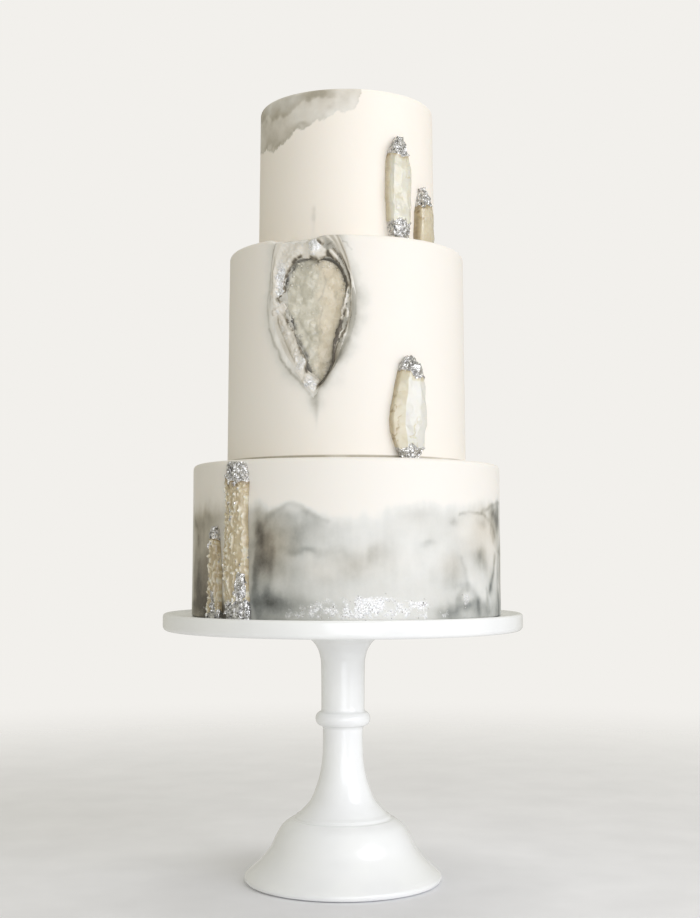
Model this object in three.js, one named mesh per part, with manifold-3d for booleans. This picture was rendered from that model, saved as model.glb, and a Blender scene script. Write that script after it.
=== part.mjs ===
// A three-tier wedding cake on a white pedestal stand. The middle tier is carved open as a geode lined
// with sugar crystals, and five poured-sugar shards with silver-leafed ends are stuck to the tiers.
// Millimetres, +Z up, front towards -Y. The origin is on the stand's axis, on the surface it stands on.
import * as THREE from "three";
import { mergeVertices } from "three/addons/utils/BufferGeometryUtils.js";
import Module from "manifold-3d";

const wasm = await Module();
wasm.setup();

// Driving dimensions
const GAP = 0.3; // clearance kept between two pieces that touch
const SLIVER = 0.04;
const CAKE_OFFSET = 3; // the cake stands this far to the right of the stand's axis
const TIER_SEGMENTS = 72;
const STAND_SEGMENTS = 36;

const FOOT_RADIUS = 83; // widest point of the stand's bell foot
const STEM_RADIUS = 17;
const COLLAR_RADIUS = 23.3; // the bead round the stem
const COLLAR_HEIGHT = 12;
const COLLAR_Z = 135; // middle of the bead
const PLATE_RADIUS = 152.5; // a 12-inch plate
const PLATE_UNDERSIDE = 210;
const PLATE_SURFACE = 222.4;
const LIP_RISE = 2;
const LIP_WIDTH = 9;

const SHOULDER = 4; // rounding of the icing at the top edge of each tier
const BASE_EASE = 1.2; // rounding at the bottom edge
const BOTTOM_TIER = tierSizes(131.2, 130.4, PLATE_SURFACE + GAP, 126.3); // 10-inch tier, iced
const MIDDLE_TIER = tierSizes(102, 100.6, BOTTOM_TIER.top + GAP, 180); // 8-inch tier, iced
const TOP_TIER = tierSizes(75.8, 74.5, MIDDLE_TIER.top + GAP, 127); // 6-inch tier, iced

// The geode's two outlines, as [arc along the wall from the front, height], from the lower tip to the top.
// The outer one is where the icing starts to slope in, and the inner one is the brim of the hollow, whose
// ceiling is nearly flat.
const GEODE_RADIUS = 101; // wall radius that the arcs are measured on
const GEODE_CENTRE = [-26, 470];
const OUTER_LEFT = [[-26, 398], [-54, 429], [-66, 456], [-67, 490], [-58, 532], [-24, 566]];
const OUTER_RIGHT = [[-26, 398], [-9, 423], [4, 448], [8, 476], [-1, 517], [-24, 566]];
const INNER_LEFT = [[-24.5, 407], [-36, 430], [-50, 459], [-57, 484], [-54, 498], [-45, 508], [-24, 511]];
const INNER_RIGHT = [[-24.5, 407], [-11, 426], [-5, 455], [0, 482], [-2, 496], [-10, 507], [-24, 511]];
const SIDE_POINTS = 15; // points along each side of an outline
const BRIM_DEPTH = 4.5; // depth of the brim under the wall's surface
const HOLLOW_DEPTH = 18;
const RIM_CLEARANCE = 0.8; // between the slope, whose faces are twisted, and the rim that lies on it

// The shards: azimuth of the middle in degrees from the front, height, thickness, and the widths at the
// bottom, at the widest level and at the top. "belly" is how far up the widest level is.
// Two of them have a ridged front.
const SHARDS = {
  shard_top_tall: {
    tier: "top", azimuth: 34, height: 89, thick: 9.5,
    widths: [15, 23, 10], belly: 0.5, seed: 11,
  },
  shard_top_short: {
    tier: "top", azimuth: 56, height: 50, thick: 9,
    widths: [22, 24, 7], belly: 0.2, seed: 23,
  },
  shard_middle: {
    tier: "middle", azimuth: 29.5, height: 82, thick: 9.5,
    widths: [15, 31, 12], belly: 0.36, seed: 37,
  },
  shard_bottom_tall: {
    tier: "bottom", azimuth: -41, height: 124, thick: 10,
    widths: [24, 24, 19], belly: 0.5, seed: 43,
  },
  shard_bottom_short: {
    tier: "bottom", azimuth: -52.6, height: 74, thick: 8,
    widths: [15, 14, 7], belly: 0.4, seed: 59,
  },
};
const RIDGED_SHARDS = ["shard_bottom_tall", "shard_bottom_short"];
const SMOOTH_SECTION = [[-0.5, 0.35], [-0.3, 0.85], [0.05, 1], [0.34, 0.8], [0.5, 0.3]]; // across, out
const RIDGED_SECTION = [
  [-0.5, 0.4], [-0.32, 0.9], [-0.16, 0.6], [0.06, 1], [0.24, 0.65], [0.38, 0.85], [0.5, 0.3],
];
const SHARD_LEVELS = 9;
const SHARD_JITTER = 0.9; // how uneven a shard's facets are
const NUGGETS_PER_END = 8; // lumps of crumpled leaf at each end of a shard
const NUGGET_RADIUS = 2.6;

const CRYSTAL_COUNT = 58;
const CRYSTAL_SIDES = 5;
const CRYSTAL_RADIUS = [2.2, 4.4];
const CRYSTAL_RISE = [1.8, 4.6]; // how far a crystal stands out of the lining

// Finishes
const MELAMINE = new THREE.MeshStandardMaterial({ color: 0xf1f1ee, roughness: 0.22, metalness: 0 });
const SUGARPASTE = new THREE.MeshStandardMaterial({ color: 0xf4efe2, roughness: 0.55, metalness: 0 });
const ROCK_SUGAR = new THREE.MeshStandardMaterial({ color: 0xc6bfac, roughness: 0.25, metalness: 0 });
const POURED_SUGAR = new THREE.MeshStandardMaterial({ color: 0xe3d9b8, roughness: 0.15, metalness: 0 });
const SILVER_LEAF = new THREE.MeshStandardMaterial({ color: 0xb9b9b6, roughness: 0.35, metalness: 0.9 });

function tierSizes(radius, topRadius, base, height) {
  return { radius, topRadius, base, top: base + height };
}

// A repeatable series of random numbers from 0 to 1.
function randomSeries(seed) {
  let state = seed >>> 0;
  return () => {
    state = (Math.imul(state, 1664525) + 1013904223) >>> 0;
    return state / 4294967296;
  };
}

function between(random, [low, high]) {
  return low + (high - low) * random();
}

// A closed solid from positions and triangles. Shared corners are merged, empty triangles are dropped,
// and a surface that faces inwards is turned round.
function solidFrom(geometry) {
  const bare = geometry.clone();
  bare.deleteAttribute("normal");
  bare.deleteAttribute("uv");
  const merged = mergeVertices(bare, 1e-4);
  const corners = merged.index.array;
  const kept = [];
  for (let i = 0; i < corners.length; i += 3) {
    const [a, b, c] = [corners[i], corners[i + 1], corners[i + 2]];
    if (a !== b && b !== c && a !== c) kept.push(a, b, c);
  }
  const vertProperties = new Float32Array(merged.attributes.position.array);
  const solidOf = (order) =>
    new wasm.Manifold(new wasm.Mesh({ numProp: 3, vertProperties, triVerts: new Uint32Array(order) }));
  const solid = solidOf(kept);
  return solid.volume() < 0 ? solidOf(kept.reverse()) : solid;
}

// The outer skin of the largest piece: sealed hollows are filled and loose scraps dropped. Slivers
// smaller than SLIVER are smoothed away.
function mainBody(solid) {
  const pieces = solid.simplify(SLIVER).decompose();
  return pieces.reduce((largest, piece) => (piece.volume() > largest.volume() ? piece : largest));
}

function geometryFrom(solid) {
  const mesh = solid.getMesh();
  const geometry = new THREE.BufferGeometry();
  geometry.setAttribute("position", new THREE.BufferAttribute(new Float32Array(mesh.vertProperties), 3));
  geometry.setIndex(new THREE.BufferAttribute(new Uint32Array(mesh.triVerts), 1));
  geometry.computeVertexNormals();
  return geometry;
}

function namedMesh(name, solid, material) {
  const mesh = new THREE.Mesh(geometryFrom(solid), material);
  mesh.name = name;
  return mesh;
}

// Turns a profile of [radius, height] about the Z axis. Segment 0 is at the front.
function turned(profile, segments) {
  const points = profile.map(([radius, z]) => new THREE.Vector2(radius, z));
  const geometry = new THREE.LatheGeometry(points, segments);
  geometry.rotateX(Math.PI / 2);
  return solidFrom(geometry);
}

function arcPoints(centreR, centreZ, radiusR, radiusZ, fromDegrees, toDegrees, steps) {
  const points = [];
  for (let i = 0; i <= steps; i++) {
    const angle = THREE.MathUtils.degToRad(fromDegrees + ((toDegrees - fromDegrees) * i) / steps);
    points.push([centreR + radiusR * Math.cos(angle), centreZ + radiusZ * Math.sin(angle)]);
  }
  return points;
}

function splinePoints(points, steps) {
  const curve = new THREE.SplineCurve(points.map(([x, y]) => new THREE.Vector2(x, y)));
  return curve.getSpacedPoints(steps).map((point) => [point.x, point.y]);
}

// The stand
function standProfile() {
  const footRecess = [[0, 2.5], [68, 2.5], [70, 0], [FOOT_RADIUS - 3, 0]];
  const footEdge = arcPoints(FOOT_RADIUS - 3, 3.4, 3, 3.4, -60, 70, 3);
  const bell = splinePoints([[80.5, 7.4], [71, 15.8], [61.8, 26.8], [57, 36.7], [51, 46], [42, 51.8]], 7);
  const step = [[40.6, 52.2], [39.9, 54.2]];
  const trumpet = splinePoints(
    [
      [37.2, 55.6], [27.7, 66], [22.6, 78], [19.3, 89],
      [STEM_RADIUS + 0.5, 101], [STEM_RADIUS, 114], [STEM_RADIUS, 127.5],
    ],
    7,
  );
  const beadRoot = STEM_RADIUS + 1.3;
  const bead = arcPoints(beadRoot, COLLAR_Z, COLLAR_RADIUS - beadRoot, COLLAR_HEIGHT / 2, -80, 80, 5);
  const upperStem = [[18.2, 143], [18.6, 180]];
  const flare = splinePoints([[19.4, 187], [21.6, 194], [26.4, 200.5], [34, 206], [46, 209.2]], 4);
  const underEdge = arcPoints(PLATE_RADIUS - 4, PLATE_UNDERSIDE + 4, 4, 4, -90, 0, 2);
  const lipTop = PLATE_SURFACE + LIP_RISE;
  const upperEdge = arcPoints(PLATE_RADIUS - 2.6, lipTop - 2.6, 2.6, 2.6, 0, 90, 3);
  const lipInside = [[PLATE_RADIUS - LIP_WIDTH / 2, lipTop - 0.5], [PLATE_RADIUS - LIP_WIDTH, PLATE_SURFACE]];
  return [
    ...footRecess, ...footEdge, ...bell, ...step, ...trumpet, ...bead, ...upperStem, ...flare,
    ...underEdge, ...upperEdge, ...lipInside, [0, PLATE_SURFACE],
  ];
}

// The tiers
function tierSolid(tier, growth = 0) {
  const base = tier.base - growth;
  const top = tier.top + growth;
  const lower = tier.radius + growth;
  const upper = tier.topRadius + growth;
  return turned(
    [
      [0, base],
      [lower - BASE_EASE, base],
      [lower, base + BASE_EASE],
      ...arcPoints(upper - SHOULDER, top - SHOULDER, SHOULDER, SHOULDER, 0, 90, 3),
      [0, top],
    ],
    TIER_SEGMENTS,
  );
}

// The geode
function outline(left, right) {
  const up = splinePoints(left, SIDE_POINTS);
  const down = splinePoints(right, SIDE_POINTS).reverse();
  return [...up.slice(0, -1), ...down.slice(0, -1)];
}

function shrunk(points, scale) {
  const [centreS, centreZ] = GEODE_CENTRE;
  return points.map(([s, z]) => [centreS + (s - centreS) * scale, centreZ + (z - centreZ) * scale]);
}

// A point of the unrolled wall, at a radius from the cake's axis.
function onWall(s, z, radius) {
  const azimuth = s / GEODE_RADIUS;
  return [radius * Math.sin(azimuth), -radius * Math.cos(azimuth), z];
}

// A solid lofted through rings of equal length, closed by a middle point at both ends.
function lofted(rings, firstPoint, lastPoint) {
  const count = rings[0].length;
  const corners = [...rings.flat(), firstPoint, lastPoint];
  const triangles = [];
  for (let r = 0; r + 1 < rings.length; r++) {
    for (let i = 0; i < count; i++) {
      const [a, b] = [r * count + i, r * count + ((i + 1) % count)];
      const [c, d] = [a + count, b + count];
      triangles.push(a, c, b, b, c, d);
    }
  }
  const [first, last] = [corners.length - 2, corners.length - 1];
  const lastRing = (rings.length - 1) * count;
  for (let i = 0; i < count; i++) {
    const next = (i + 1) % count;
    triangles.push(first, i, next, last, lastRing + next, lastRing + i);
  }
  const geometry = new THREE.BufferGeometry();
  geometry.setAttribute("position", new THREE.Float32BufferAttribute(corners.flat(), 3));
  geometry.setIndex(triangles);
  return solidFrom(geometry);
}

// Rings of the geode's outlines, each [outline, scale, depth under the wall], from outside to the bottom.
function pocket(layers, outsideRadius, floorRadius) {
  const rings = layers.map(([points, scale, depth]) =>
    shrunk(points, scale).map(([s, z]) => onWall(s, z, GEODE_RADIUS - depth)),
  );
  return lofted(rings, onWall(...GEODE_CENTRE, outsideRadius), onWall(...GEODE_CENTRE, floorRadius));
}

const outer = outline(OUTER_LEFT, OUTER_RIGHT);
const inner = outline(INNER_LEFT, INNER_RIGHT);

function hollow() {
  const layers = [
    [outer, 1, -8],
    [outer, 1, -0.2],
    [inner, 1, BRIM_DEPTH],
    [inner, 0.93, 10],
    [inner, 0.6, 15],
    [inner, 0.25, HOLLOW_DEPTH - 0.5],
  ];
  return pocket(layers, GEODE_RADIUS + 8, GEODE_RADIUS - HOLLOW_DEPTH);
}

// Where the lining and its crystals may be: inside the hollow, clear of its walls and of the rim.
function liningRoom() {
  const layers = [
    [inner, 0.96, 1],
    [inner, 0.97, 5],
    [inner, 0.915, 9.2],
    [inner, 0.57, 14.3],
    [inner, 0.22, HOLLOW_DEPTH - 1],
  ];
  return pocket(layers, GEODE_RADIUS - 1, GEODE_RADIUS - HOLLOW_DEPTH + 0.6);
}

const LINING_LAYERS = [[0.98, 6], [0.6, 11], [0.25, 12.6]]; // scale and depth of the lining's surface

function liningBody() {
  const layers = LINING_LAYERS.map(([scale, depth]) => [inner, scale, depth]).reverse();
  const under = [[inner, 0.98, 16], [inner, 0.3, HOLLOW_DEPTH]];
  return pocket([...layers, ...under], GEODE_RADIUS - 13, GEODE_RADIUS - HOLLOW_DEPTH - 1);
}

// One crystal, pointing along direction from a root inside the lining.
function sugarCrystal(root, direction, radius, length) {
  const tip = radius * 0.9;
  const shape = new THREE.LatheGeometry(
    [[0, 0], [radius * 0.9, 0], [radius, length - tip], [0, length]].map(([r, y]) => new THREE.Vector2(r, y)),
    CRYSTAL_SIDES,
  );
  const turn = new THREE.Quaternion().setFromUnitVectors(new THREE.Vector3(0, 1, 0), direction);
  shape.applyQuaternion(turn);
  shape.translate(...root);
  return solidFrom(shape);
}

function liningDepth(scale) {
  const [rim, middle, floor] = LINING_LAYERS;
  if (scale > middle[0]) return THREE.MathUtils.mapLinear(scale, middle[0], rim[0], middle[1], rim[1]);
  return THREE.MathUtils.mapLinear(scale, 0, middle[0], floor[1], middle[1]);
}

function sugarLining() {
  const random = randomSeries(7);
  const crystals = [];
  for (let i = 0; i < CRYSTAL_COUNT; i++) {
    const scale = 0.9 * Math.sqrt((i + 0.5) / CRYSTAL_COUNT);
    const ring = shrunk(inner, scale);
    const [s, z] = ring[Math.floor(i * 0.61803 * ring.length) % ring.length];
    const radius = between(random, CRYSTAL_RADIUS);
    const rise = between(random, CRYSTAL_RISE);
    const sunk = 4;
    const root = onWall(s, z, GEODE_RADIUS - liningDepth(scale) - sunk);
    const outward = new THREE.Vector3(...onWall(s, 0, 1));
    const lean = new THREE.Vector3(random() - 0.5, random() - 0.5, random() - 0.5).multiplyScalar(0.9);
    crystals.push(sugarCrystal(root, outward.add(lean).normalize(), radius, rise + sunk));
  }
  return mainBody(wasm.Manifold.union([liningBody(), ...crystals]).intersect(liningRoom()));
}

// The torn, silvered rim that lies on the slope between the two outlines.
function silveredRim() {
  const random = randomSeries(19);
  const rings = outer.map(([s, z], i) => {
    const [innerS, innerZ] = inner[i];
    const across = (share, depth) =>
      onWall(s + (innerS - s) * share, z + (innerZ - z) * share, GEODE_RADIUS - depth);
    const start = 0.1 + 0.2 * random();
    const end = 0.84 + 0.16 * random();
    const rise = RIM_CLEARANCE + 0.8 + 1.6 * random();
    return [
      across(start, start * BRIM_DEPTH - RIM_CLEARANCE),
      across(end, end * BRIM_DEPTH - RIM_CLEARANCE),
      across(end, end * BRIM_DEPTH - rise),
      across((start + end) / 2, 0.5 * BRIM_DEPTH - rise - 0.3),
    ];
  });
  const count = rings[0].length;
  const triangles = [];
  rings.forEach((ring, r) => {
    const next = ((r + 1) % rings.length) * count;
    for (let i = 0; i < count; i++) {
      const [a, b] = [r * count + i, r * count + ((i + 1) % count)];
      const [c, d] = [next + i, next + ((i + 1) % count)];
      triangles.push(a, b, c, b, d, c);
    }
  });
  const geometry = new THREE.BufferGeometry();
  geometry.setAttribute("position", new THREE.Float32BufferAttribute(rings.flat(2), 3));
  geometry.setIndex(triangles);
  return mainBody(solidFrom(geometry).trimByPlane([0, 0, -1], -(MIDDLE_TIER.top + 0.5)));
}

// The shards
function shardWidth([bottom, widest, top], belly, share) {
  if (share < belly) return bottom + (widest - bottom) * Math.sin(((share / belly) * Math.PI) / 2);
  const above = (share - belly) / (1 - belly);
  return widest + (top - widest) * (1 - Math.cos((above * Math.PI) / 2));
}

// A crumpled lump of leaf: an icosahedron with uneven corners.
function nugget(centre, radius, random) {
  const geometry = new THREE.IcosahedronGeometry(radius, 0);
  geometry.scale(0.8 + 0.5 * random(), 0.8 + 0.5 * random(), 0.8 + 0.6 * random());
  geometry.rotateX(random() * Math.PI);
  geometry.rotateY(random() * Math.PI);
  geometry.translate(...centre);
  return solidFrom(geometry);
}

// A shard stands on a ledge with its back to the wall. It is lofted in a frame with X along the wall,
// -Y outwards and Z up, turned to its azimuth, and its back is then cut to the wall's curve.
function shardSolid({ azimuth, height, thick, widths, belly, seed }, tier, front) {
  const random = randomSeries(seed);
  const uneven = () => (random() - 0.5) * 2 * SHARD_JITTER;
  const wall = (share) => THREE.MathUtils.lerp(tier.radius, tier.topRadius, share);
  const floor = tier.base;
  const section = [[-0.5, -3], ...front, [0.5, -3]];
  const rings = [];
  for (let level = 0; level <= SHARD_LEVELS; level++) {
    const share = level / SHARD_LEVELS;
    const width = shardWidth(widths, belly, share);
    const endTaper = 1 - 0.3 * Math.abs(2 * share - 1) ** 3;
    const drift = level === 0 ? 0 : uneven();
    const isEnd = level === 0 || level === SHARD_LEVELS;
    rings.push(
      section.map(([across, out]) => {
        const isBack = out < 0;
        const reach = isBack ? out : out * thick * endTaper + uneven();
        const side = across * width + drift + (isBack ? 0 : uneven());
        const z = floor + share * height + (isEnd ? 0 : uneven());
        return [side, -(wall(share) + reach), z];
      }),
    );
  }
  const middle = (level) => [0, -(wall(0) + thick * 0.35), floor + level * height];
  const lumps = [];
  for (const [end, share] of [["low", 0.06], ["high", 0.95]]) {
    const width = shardWidth(widths, belly, share);
    for (let i = 0; i < NUGGETS_PER_END; i++) {
      const radius = NUGGET_RADIUS * (0.7 + 0.6 * random());
      const rise = end === "low" ? radius * 0.6 + random() * 9 : height - random() * 12;
      const side = ((i + 0.5) / NUGGETS_PER_END - 0.5) * (width - 3);
      const out = thick * (0.4 + 0.4 * random());
      lumps.push(nugget([side, -(wall(0) + out), floor + rise], radius, random));
    }
  }
  const shard = wasm.Manifold.union([lofted(rings, middle(0), middle(1)), ...lumps])
    .rotate([0, 0, azimuth])
    .trimByPlane([0, 0, 1], floor)
    .subtract(tierSolid(tier, GAP));
  return mainBody(shard);
}

// Assembly
const tiers = { bottom: BOTTOM_TIER, middle: MIDDLE_TIER, top: TOP_TIER };
const wedding_cake = new THREE.Group();
const cake = new THREE.Group();
cake.position.x = CAKE_OFFSET;
wedding_cake.add(namedMesh("cake_stand", turned(standProfile(), STAND_SEGMENTS), MELAMINE), cake);
cake.add(
  namedMesh("bottom_tier", tierSolid(BOTTOM_TIER), SUGARPASTE),
  namedMesh("middle_tier", tierSolid(MIDDLE_TIER).subtract(hollow()), SUGARPASTE),
  namedMesh("top_tier", tierSolid(TOP_TIER), SUGARPASTE),
  namedMesh("geode_crystals", sugarLining(), ROCK_SUGAR),
  namedMesh("geode_rim", silveredRim(), SILVER_LEAF),
);
for (const [name, shard] of Object.entries(SHARDS)) {
  const front = RIDGED_SHARDS.includes(name) ? RIDGED_SECTION : SMOOTH_SECTION;
  cake.add(namedMesh(name, shardSolid(shard, tiers[shard.tier], front), POURED_SUGAR));
}

export default wedding_cake;
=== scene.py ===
# %% [markdown]
# # A tiered geode cake on its pedestal stand
# The real cake is three round cakes covered in white sugarpaste. A baker has washed grey food colour over
# them like watercolour, carved a geode into the middle one and lined it with rock sugar, and stuck on five
# shards of poured sugar whose ends are wrapped in silver leaf. This file remakes those surfaces around the
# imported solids, which say where everything is.

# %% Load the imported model
import itertools
import math

import bpy
import numpy as np
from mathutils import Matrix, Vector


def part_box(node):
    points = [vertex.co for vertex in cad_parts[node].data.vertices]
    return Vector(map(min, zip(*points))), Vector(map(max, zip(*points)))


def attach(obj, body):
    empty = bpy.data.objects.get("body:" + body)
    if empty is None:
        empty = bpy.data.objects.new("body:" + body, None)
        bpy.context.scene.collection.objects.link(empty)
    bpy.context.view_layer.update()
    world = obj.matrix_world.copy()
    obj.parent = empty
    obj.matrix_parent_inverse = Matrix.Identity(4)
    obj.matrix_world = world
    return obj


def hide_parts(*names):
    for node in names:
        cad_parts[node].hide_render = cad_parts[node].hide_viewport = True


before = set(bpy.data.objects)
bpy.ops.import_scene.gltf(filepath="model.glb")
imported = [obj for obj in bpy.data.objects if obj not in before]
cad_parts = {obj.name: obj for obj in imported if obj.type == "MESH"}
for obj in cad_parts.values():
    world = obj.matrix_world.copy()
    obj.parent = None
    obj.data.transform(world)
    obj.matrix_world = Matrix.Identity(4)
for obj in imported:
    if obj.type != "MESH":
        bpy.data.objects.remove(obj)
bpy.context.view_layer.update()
print("nodes", sorted(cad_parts))

# %% [markdown]
# ## Camera
# The photograph was taken from just above the stand's plate, about a metre and a quarter away, looking up a
# little, so the plate shows as a thin ellipse and the tops of the tiers stay hidden. A camera can be aimed
# by a constraint, but here its place and its tilt are known, so they are set as numbers.

# %% Set up the camera
MM = 0.001  # everything below is worked out in millimetres and stored in metres
CAMERA_PLACE = (6, -1240, 276)
CAMERA_TILT = 3.67  # degrees above the horizontal
LENS = 56.7  # mm, on a 36 mm sensor

camera_data = bpy.data.cameras.new("camera")
camera_data.lens = LENS
camera_data.sensor_width = 36
camera = bpy.data.objects.new("camera", camera_data)
camera.location = [c * MM for c in CAMERA_PLACE]
camera.rotation_euler = (math.radians(90 + CAMERA_TILT), 0, 0)
bpy.context.scene.collection.objects.link(camera)
bpy.context.scene.camera = camera
bpy.context.scene.view_settings.view_transform = "Standard"
print("camera at", tuple(round(c, 3) for c in camera.location))

# %% [markdown]
# ## Node and colour helpers
# Every material and every Geometry Nodes tree below is built by one small function that adds a node, sets
# it up and links it. Colours are written as sRGB hex values, which is how a colour picker shows them, and
# one function turns them into the linear light that the renderer works in.


# %% Helpers for nodes and colours
def linear(hex_colour):
    """A linear RGBA colour from an sRGB hex value such as "F4EFE2"."""
    shares = [int(hex_colour[i : i + 2], 16) / 255 for i in (0, 2, 4)]
    light = [c / 12.92 if c <= 0.04045 else ((c + 0.055) / 1.055) ** 2.4 for c in shares]
    return (*light, 1.0)


def feed(node, inputs):
    """Gives a node its inputs. Each is paired with a value or with the socket that feeds it."""
    for name, value in dict(inputs).items():
        if isinstance(value, bpy.types.NodeSocket):
            node.id_data.links.new(value, node.inputs[name])
        else:
            node.inputs[name].default_value = value


def add_node(tree, kind, inputs=(), stops=(), **settings):
    """Adds a node with its settings, inputs and links. stops are a ramp's places and hex colours."""
    node = tree.nodes.new(kind)
    for name, value in settings.items():
        setattr(node, name, value)
    feed(node, inputs)
    for _ in stops[2:]:
        node.color_ramp.elements.new(1.0)
    for i, (place, colour) in enumerate(stops):
        node.color_ramp.elements[i].position = place
        node.color_ramp.elements[i].color = linear(colour)
    return node


def new_material(name):
    """A new material, its node tree, its Principled surface and the piece's own coordinates."""
    material = bpy.data.materials.new(name)
    material.use_nodes = True
    tree = material.node_tree
    place = add_node(tree, "ShaderNodeTexCoord").outputs["Object"]
    return material, tree, tree.nodes["Principled BSDF"], place


SHARE, COLOUR_A, COLOUR_B, MIXED = 0, 6, 7, 2  # sockets of a Mix node that mixes colours


# %% [markdown]
# ## Stage and light
# The photograph is high-key: soft light from the right and the front, and a warm shade on the left side of
# each tier. Two large area lights give the soft side and front light, and a small one lights the tops. The
# world is dim and warm as a light, and pale where the camera sees it, so the white icing keeps its shading
# in front of an almost white ground. The floor fades out with distance.

# %% Build the floor, the lights and the background
WALL_COLOUR = "F2F0EC"
FLOOR_SOLID = 0.35  # metres from the stand to where the floor starts to fade
FLOOR_REACH = 1.5  # metres from the stand to where it has faded out
FLOOR_RADIUS = FLOOR_REACH * 1.3
FLOOR_DROP = 0.2 * MM  # keeps the floor just under the foot


def area_light(name, place, aim, size, power, colour):
    """A round soft light. place, aim and size across are in metres, and power is in watts."""
    data = bpy.data.lights.new(name, "AREA")
    data.shape = "DISK"
    data.size = size
    data.energy = power
    data.color = linear(colour)[:3]
    light = bpy.data.objects.new(name, data)
    light.location = place
    direction = np.array(aim, float) - np.array(place, float)
    light.rotation_euler = (
        math.acos(-direction[2] / np.linalg.norm(direction)),
        0,
        math.atan2(direction[1], direction[0]) - math.pi / 2,
    )
    bpy.context.scene.collection.objects.link(light)


area_light("key", (1.7, -1.5, 0.95), (0, 0, 0.38), 2.0, 26.5, "F2F4FF")
area_light("front_fill", (0.3, -2.6, 0.5), (0, 0, 0.36), 1.8, 16, "F2F5FF")
area_light("top", (0.2, 0.3, 2.2), (0, 0, 0.5), 1.2, 8, "FFFFFF")

world = bpy.data.worlds.new("studio")
bpy.context.scene.world = world
world.use_nodes = True
tree = world.node_tree
tree.nodes.clear()
shade = add_node(tree, "ShaderNodeBackground", {"Color": linear("FFFCEE"), "Strength": 0.52})
shown = add_node(tree, "ShaderNodeBackground", {"Color": linear(WALL_COLOUR), "Strength": 1.0})
seen = add_node(tree, "ShaderNodeLightPath")
mixed = add_node(
    tree,
    "ShaderNodeMixShader",
    {0: seen.outputs["Is Camera Ray"], 1: shade.outputs[0], 2: shown.outputs[0]},
)
add_node(tree, "ShaderNodeOutputWorld", {"Surface": mixed.outputs[0]})

bpy.ops.mesh.primitive_circle_add(vertices=64, radius=FLOOR_RADIUS, fill_type="NGON")
floor = bpy.context.object
floor.name = "floor"
floor.location.z = -FLOOR_DROP
painted_board, tree, surface, place = new_material("painted_board")
away = add_node(tree, "ShaderNodeVectorMath", {0: place}, operation="LENGTH")
faded = add_node(
    tree,
    "ShaderNodeMapRange",
    {"Value": away.outputs["Value"], "From Min": FLOOR_SOLID, "From Max": FLOOR_REACH},
    interpolation_type="SMOOTHSTEP",
)
mottle = add_node(tree, "ShaderNodeTexNoise", {"Vector": place, "Scale": 14.0, "Detail": 4.0})
tone = add_node(
    tree, "ShaderNodeValToRGB", {"Fac": mottle.outputs["Fac"]}, [(0.3, "EEEEF1"), (0.7, "F5F5F8")]
)
feed(surface, {"Base Color": tone.outputs["Color"], "Roughness": 0.6})
clear = add_node(tree, "ShaderNodeBsdfTransparent")
mixed = add_node(
    tree, "ShaderNodeMixShader", {0: faded.outputs["Result"], 1: surface.outputs[0], 2: clear.outputs[0]}
)
feed(tree.nodes["Material Output"], {"Surface": mixed.outputs[0]})
floor.data.materials.append(painted_board)
print("floor radius", FLOOR_RADIUS, "m")

# %% [markdown]
# ## Noise in numbers
# Icing is never dead smooth, washes of colour run where they like, and sugar breaks unevenly. Blender's
# texture nodes can do that in a material, but here the same random field has to move vertices and paint
# them too. So it is written once with NumPy: a value is drawn for each corner of a 3-D lattice, always the
# same one for the same corner and seed, and blended between the corners.


# %% Noise and brush helpers
def value_noise(points, size, seed):
    """Smooth random values from -1 to 1 at the points. size is the width of one bump, in mm."""
    grid = points / size + seed * 17.31
    cell = np.floor(grid).astype(np.int64)
    share = grid - cell
    share = share * share * (3 - 2 * share)
    total = np.zeros(len(points))
    for corner in itertools.product((0, 1), repeat=3):
        x, y, z = (cell + np.array(corner)).T
        mixed = (x * 73856093) ^ (y * 19349663) ^ (z * 83492791) ^ (seed * 40503)
        mixed = ((mixed & 0xFFFFFFFF) * 1274126177) & 0xFFFFFFFF
        mixed = (((mixed >> 15) ^ mixed) * 2246822519) & 0xFFFFFFFF
        value = ((mixed >> 13) & 0xFFFF) / 32767.5 - 1
        weight = np.prod(np.where(corner, share, 1 - share), axis=1)
        total += weight * value
    return total


def cloud_noise(points, size, seed, octaves=4):
    """Several sizes of noise added up, each half the size and half the strength of the last."""
    return sum(value_noise(points, size / 2**i, seed + i) * 0.5**i for i in range(octaves))


def creased(points, size, seed):
    """Sharp folds, from 0 in the valleys to 1 on the creases, as in crumpled foil."""
    return 1 - np.abs(value_noise(points, size, seed))


def smooth_step(low, high, x):
    share = np.clip((x - low) / (high - low), 0, 1)
    return share * share * (3 - 2 * share)


def distance_to(s, z, line):
    """Distance from each point of the unrolled wall to a line of [arc, height] points."""
    nearest = np.full(np.shape(s), 1e9)
    for (s0, z0), (s1, z1) in zip(line, line[1:]):
        ds, dz = s1 - s0, z1 - z0
        share = np.clip(((s - s0) * ds + (z - z0) * dz) / (ds * ds + dz * dz + 1e-9), 0, 1)
        nearest = np.minimum(nearest, np.hypot(s - s0 - share * ds, z - z0 - share * dz))
    return nearest


def puff(s, z, centre, size):
    """A soft round cloud: 1 in its middle, fading out."""
    away = np.hypot((s - centre[0]) / size[0], (z - centre[1]) / size[1])
    return np.exp(-away * away)


def puffs(s, z, places):
    """Several soft clouds added up. Each place is a centre, a half size and how strong it is."""
    return sum(strength * puff(s, z, centre, size) for centre, size, strength in places)


def brushed(s, z, line, width):
    """A soft brush line: 1 along its middle, fading out over its half width."""
    return np.exp(-((distance_to(s, z, line) / width) ** 2))


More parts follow.
